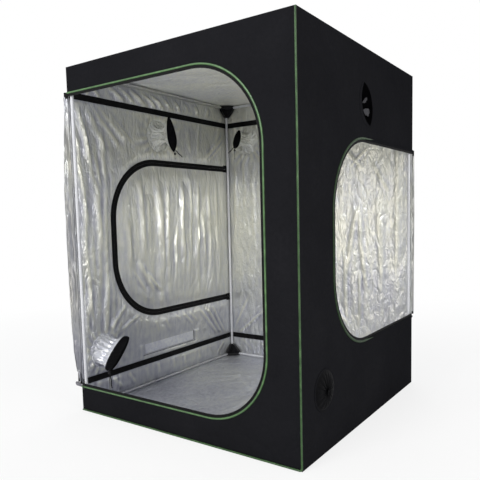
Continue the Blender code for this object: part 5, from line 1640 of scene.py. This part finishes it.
def black_braid():
    paint = Paint("black_braid", Specular_IOR_Level=0.2)
    strands = paint.noise(1.0, 2.0, 0.5, paint.stretched((900.0, 900.0, 420.0)))
    stops = ((0.3, (0.005, 0.005, 0.006)), (0.7, (0.014, 0.014, 0.016)))
    return paint.finish(strands, stops, (0.6, 0.85), strands, 0.6, 0.0005)


def zip_metal():
    paint = Paint("zip_enamel", Metallic=0.7, Specular_IOR_Level=0.5)
    wear = paint.noise(160.0, 3.0)
    stops = ((0.35, (0.03, 0.03, 0.034)), (0.7, (0.09, 0.09, 0.095)))
    return paint.finish(wear, stops, (0.3, 0.5), wear, 0.1, 0.0002)


# Stage

# Each light: its place, what it faces, its size, its power in watts and its colour
LIGHTS = {
    "key": ((-2.2, -4.7, 0.6), (0.45, 0.75, 0.85), 1.6, 27.0, (1.0, 0.91, 0.77)),
    "front": ((-0.2, -5.0, 3.8), (-0.3, 0.5, 1.0), 2.2, 176.0, (1.0, 1.0, 1.0)),
    "side": ((4.4, -1.0, 1.5), (-0.75, 0.3, 1.0), 1.2, 62.0, (1.0, 0.98, 0.93)),
    "back": ((-1.6, 5.0, 2.8), (0.0, 0.0, 1.0), 3.0, 90.0, (1.0, 1.0, 1.0)),
}
AMBIENT_COLOUR = (0.96, 0.975, 1.0, 1.0)
AMBIENT = 0.54
WHITE = (1.0, 1.0, 1.0, 1.0)
GROUND_HALF = 30.0
GROUND_LEVEL = -0.0005

# The ground's own glow beside the tent; it grows to full white far away
FLOOR_GLOW = 0.78


def add_camera():
    """The camera that took the photograph."""
    data = bpy.data.cameras.new("camera")
    data.lens = CAMERA_LENS
    data.sensor_width = CAMERA_SENSOR
    data.shift_x, data.shift_y = CAMERA_SHIFT
    camera = add_object("camera", data)
    flat = math.cos(CAMERA_PITCH)
    forward = Vector((-math.sin(CAMERA_YAW) * flat, math.cos(CAMERA_YAW) * flat, math.sin(CAMERA_PITCH)))
    right = forward.cross(Vector((0, 0, 1))).normalized()
    up = right.cross(forward)
    c, s = math.cos(CAMERA_ROLL), math.sin(CAMERA_ROLL)
    matrix = Matrix((c * right + s * up, c * up - s * right, -forward)).transposed().to_4x4()
    matrix.translation = CAMERA_PLACE
    camera.matrix_world = matrix
    bpy.context.scene.camera = camera


def add_light(name, place, target, size, power, colour):
    data = bpy.data.lights.new(name, "AREA")
    data.shape = "SQUARE"
    data.size = size
    data.energy = power
    data.color = colour
    light = add_object(name, data)
    light.location = place
    light.rotation_euler = (Vector(target) - Vector(place)).to_track_quat("-Z", "Y").to_euler()


def add_stage():
    """A white ground and a white surround, with four soft lights."""
    scene = bpy.context.scene
    scene.view_settings.view_transform = "Standard"
    add_world(scene)
    paint = Paint("pale_floor", Roughness=0.9, Specular_IOR_Level=0.1)
    paint.set(Base_Color=paint.colours(paint.noise(1.5, 2.0), (0.3, (0.86, 0.86, 0.86)), (0.7, (0.88, 0.88, 0.88))))
    seen = paint.node("ShaderNodeLightPath").outputs["Is Camera Ray"]
    glow = paint.node("ShaderNodeEmission", {"Color": WHITE, "Strength": 1.0}).outputs[0]
    away = paint.node("ShaderNodeVectorMath", {0: paint.where}, operation="LENGTH").outputs["Value"]
    share = paint.maths("MULTIPLY", seen, paint.levels(away, FLOOR_GLOW, 1.0, 1.6, 4.5))
    shown = paint.node("ShaderNodeMixShader", {0: share, 1: paint.shader.outputs[0], 2: glow}).outputs[0]
    paint.tree.links.new(shown, paint.tree.nodes["Material Output"].inputs["Surface"])
    half = GROUND_HALF
    mesh = bpy.data.meshes.new("ground")
    mesh.from_pydata([(x, y, GROUND_LEVEL) for x, y in ((-half, -half), (half, -half), (half, half), (-half, half))],
                     [], [(0, 1, 2, 3)])
    mesh.materials.append(paint.material)
    add_object("ground", mesh)
    for name, light in LIGHTS.items():
        add_light(name, *light)


def add_world(scene):
    """A world that looks white, and lights the tent less than it shows."""
    world = bpy.data.worlds.new("studio")
    world.use_nodes = True
    tree = world.node_tree
    nodes, link = tree.nodes, tree.links.new
    ambient, shown = nodes["Background"], nodes.new("ShaderNodeBackground")
    for background, colour, strength in ((ambient, AMBIENT_COLOUR, AMBIENT), (shown, WHITE, 1.0)):
        background.inputs["Color"].default_value = colour
        background.inputs["Strength"].default_value = strength
    rays = nodes.new("ShaderNodeLightPath").outputs
    seen = rays["Is Camera Ray"]
    for ray in ("Is Glossy Ray", "Is Transmission Ray"):
        either = nodes.new("ShaderNodeMath")
        either.operation = "MAXIMUM"
        link(seen, either.inputs[0])
        link(rays[ray], either.inputs[1])
        seen = either.outputs[0]
    mix = nodes.new("ShaderNodeMixShader")
    for k, socket in enumerate((seen, ambient.outputs[0], shown.outputs[0])):
        link(socket, mix.inputs[k])
    link(mix.outputs[0], nodes["World Output"].inputs["Surface"])
    scene.world = world


def main():
    """Dresses the frame, piece by piece, and sets the stage."""
    add_camera()
    braid, plastic, black, enamel, metal = black_braid(), black_plastic(), black_cloth(), white_enamel(), zip_metal()
    foils = {name: silver_foil(name) for name in FOILS}
    webbing = webbing_tape()
    add_cords(braid, plastic)
    add_walls(black, foils["silver_foil"], foils["roof_foil_painted_light"])
    add_doors(black, foils["door_foil"])
    add_edgings(webbing, green_twill(), green_twill("painted_shade_green_twill", 0.3), metal)
    add_piping_hoods(black)
    add_front_piping(green_twill("dull_green_twill", 0.62))
    add_bands(webbing)
    add_trim_ends(webbing)
    add_fold_strips(black, foils["strip_foil_painted_shade"], webbing, webbing_tape("sheen_grey_tape", 34.0))
    add_frame(enamel, plastic, foils["pocket_foil_painted_shade"])
    add_roof_bar(enamel)
    add_sleeves(sleeve_satin(), foils["sleeve_foil"], foils["cone_foil_painted_light"], black,
                sleeve_satin("sleeve_shade", 0.0, 0.45))
    add_glimpses(webbing_tape("shaded_slit_lining", 8.0))
    add_vent(foils["flap_foil_painted_light"], webbing, plastic)
    add_sliders(metal)
    add_mat(foils["floor_foil"])
    add_stage()


main()
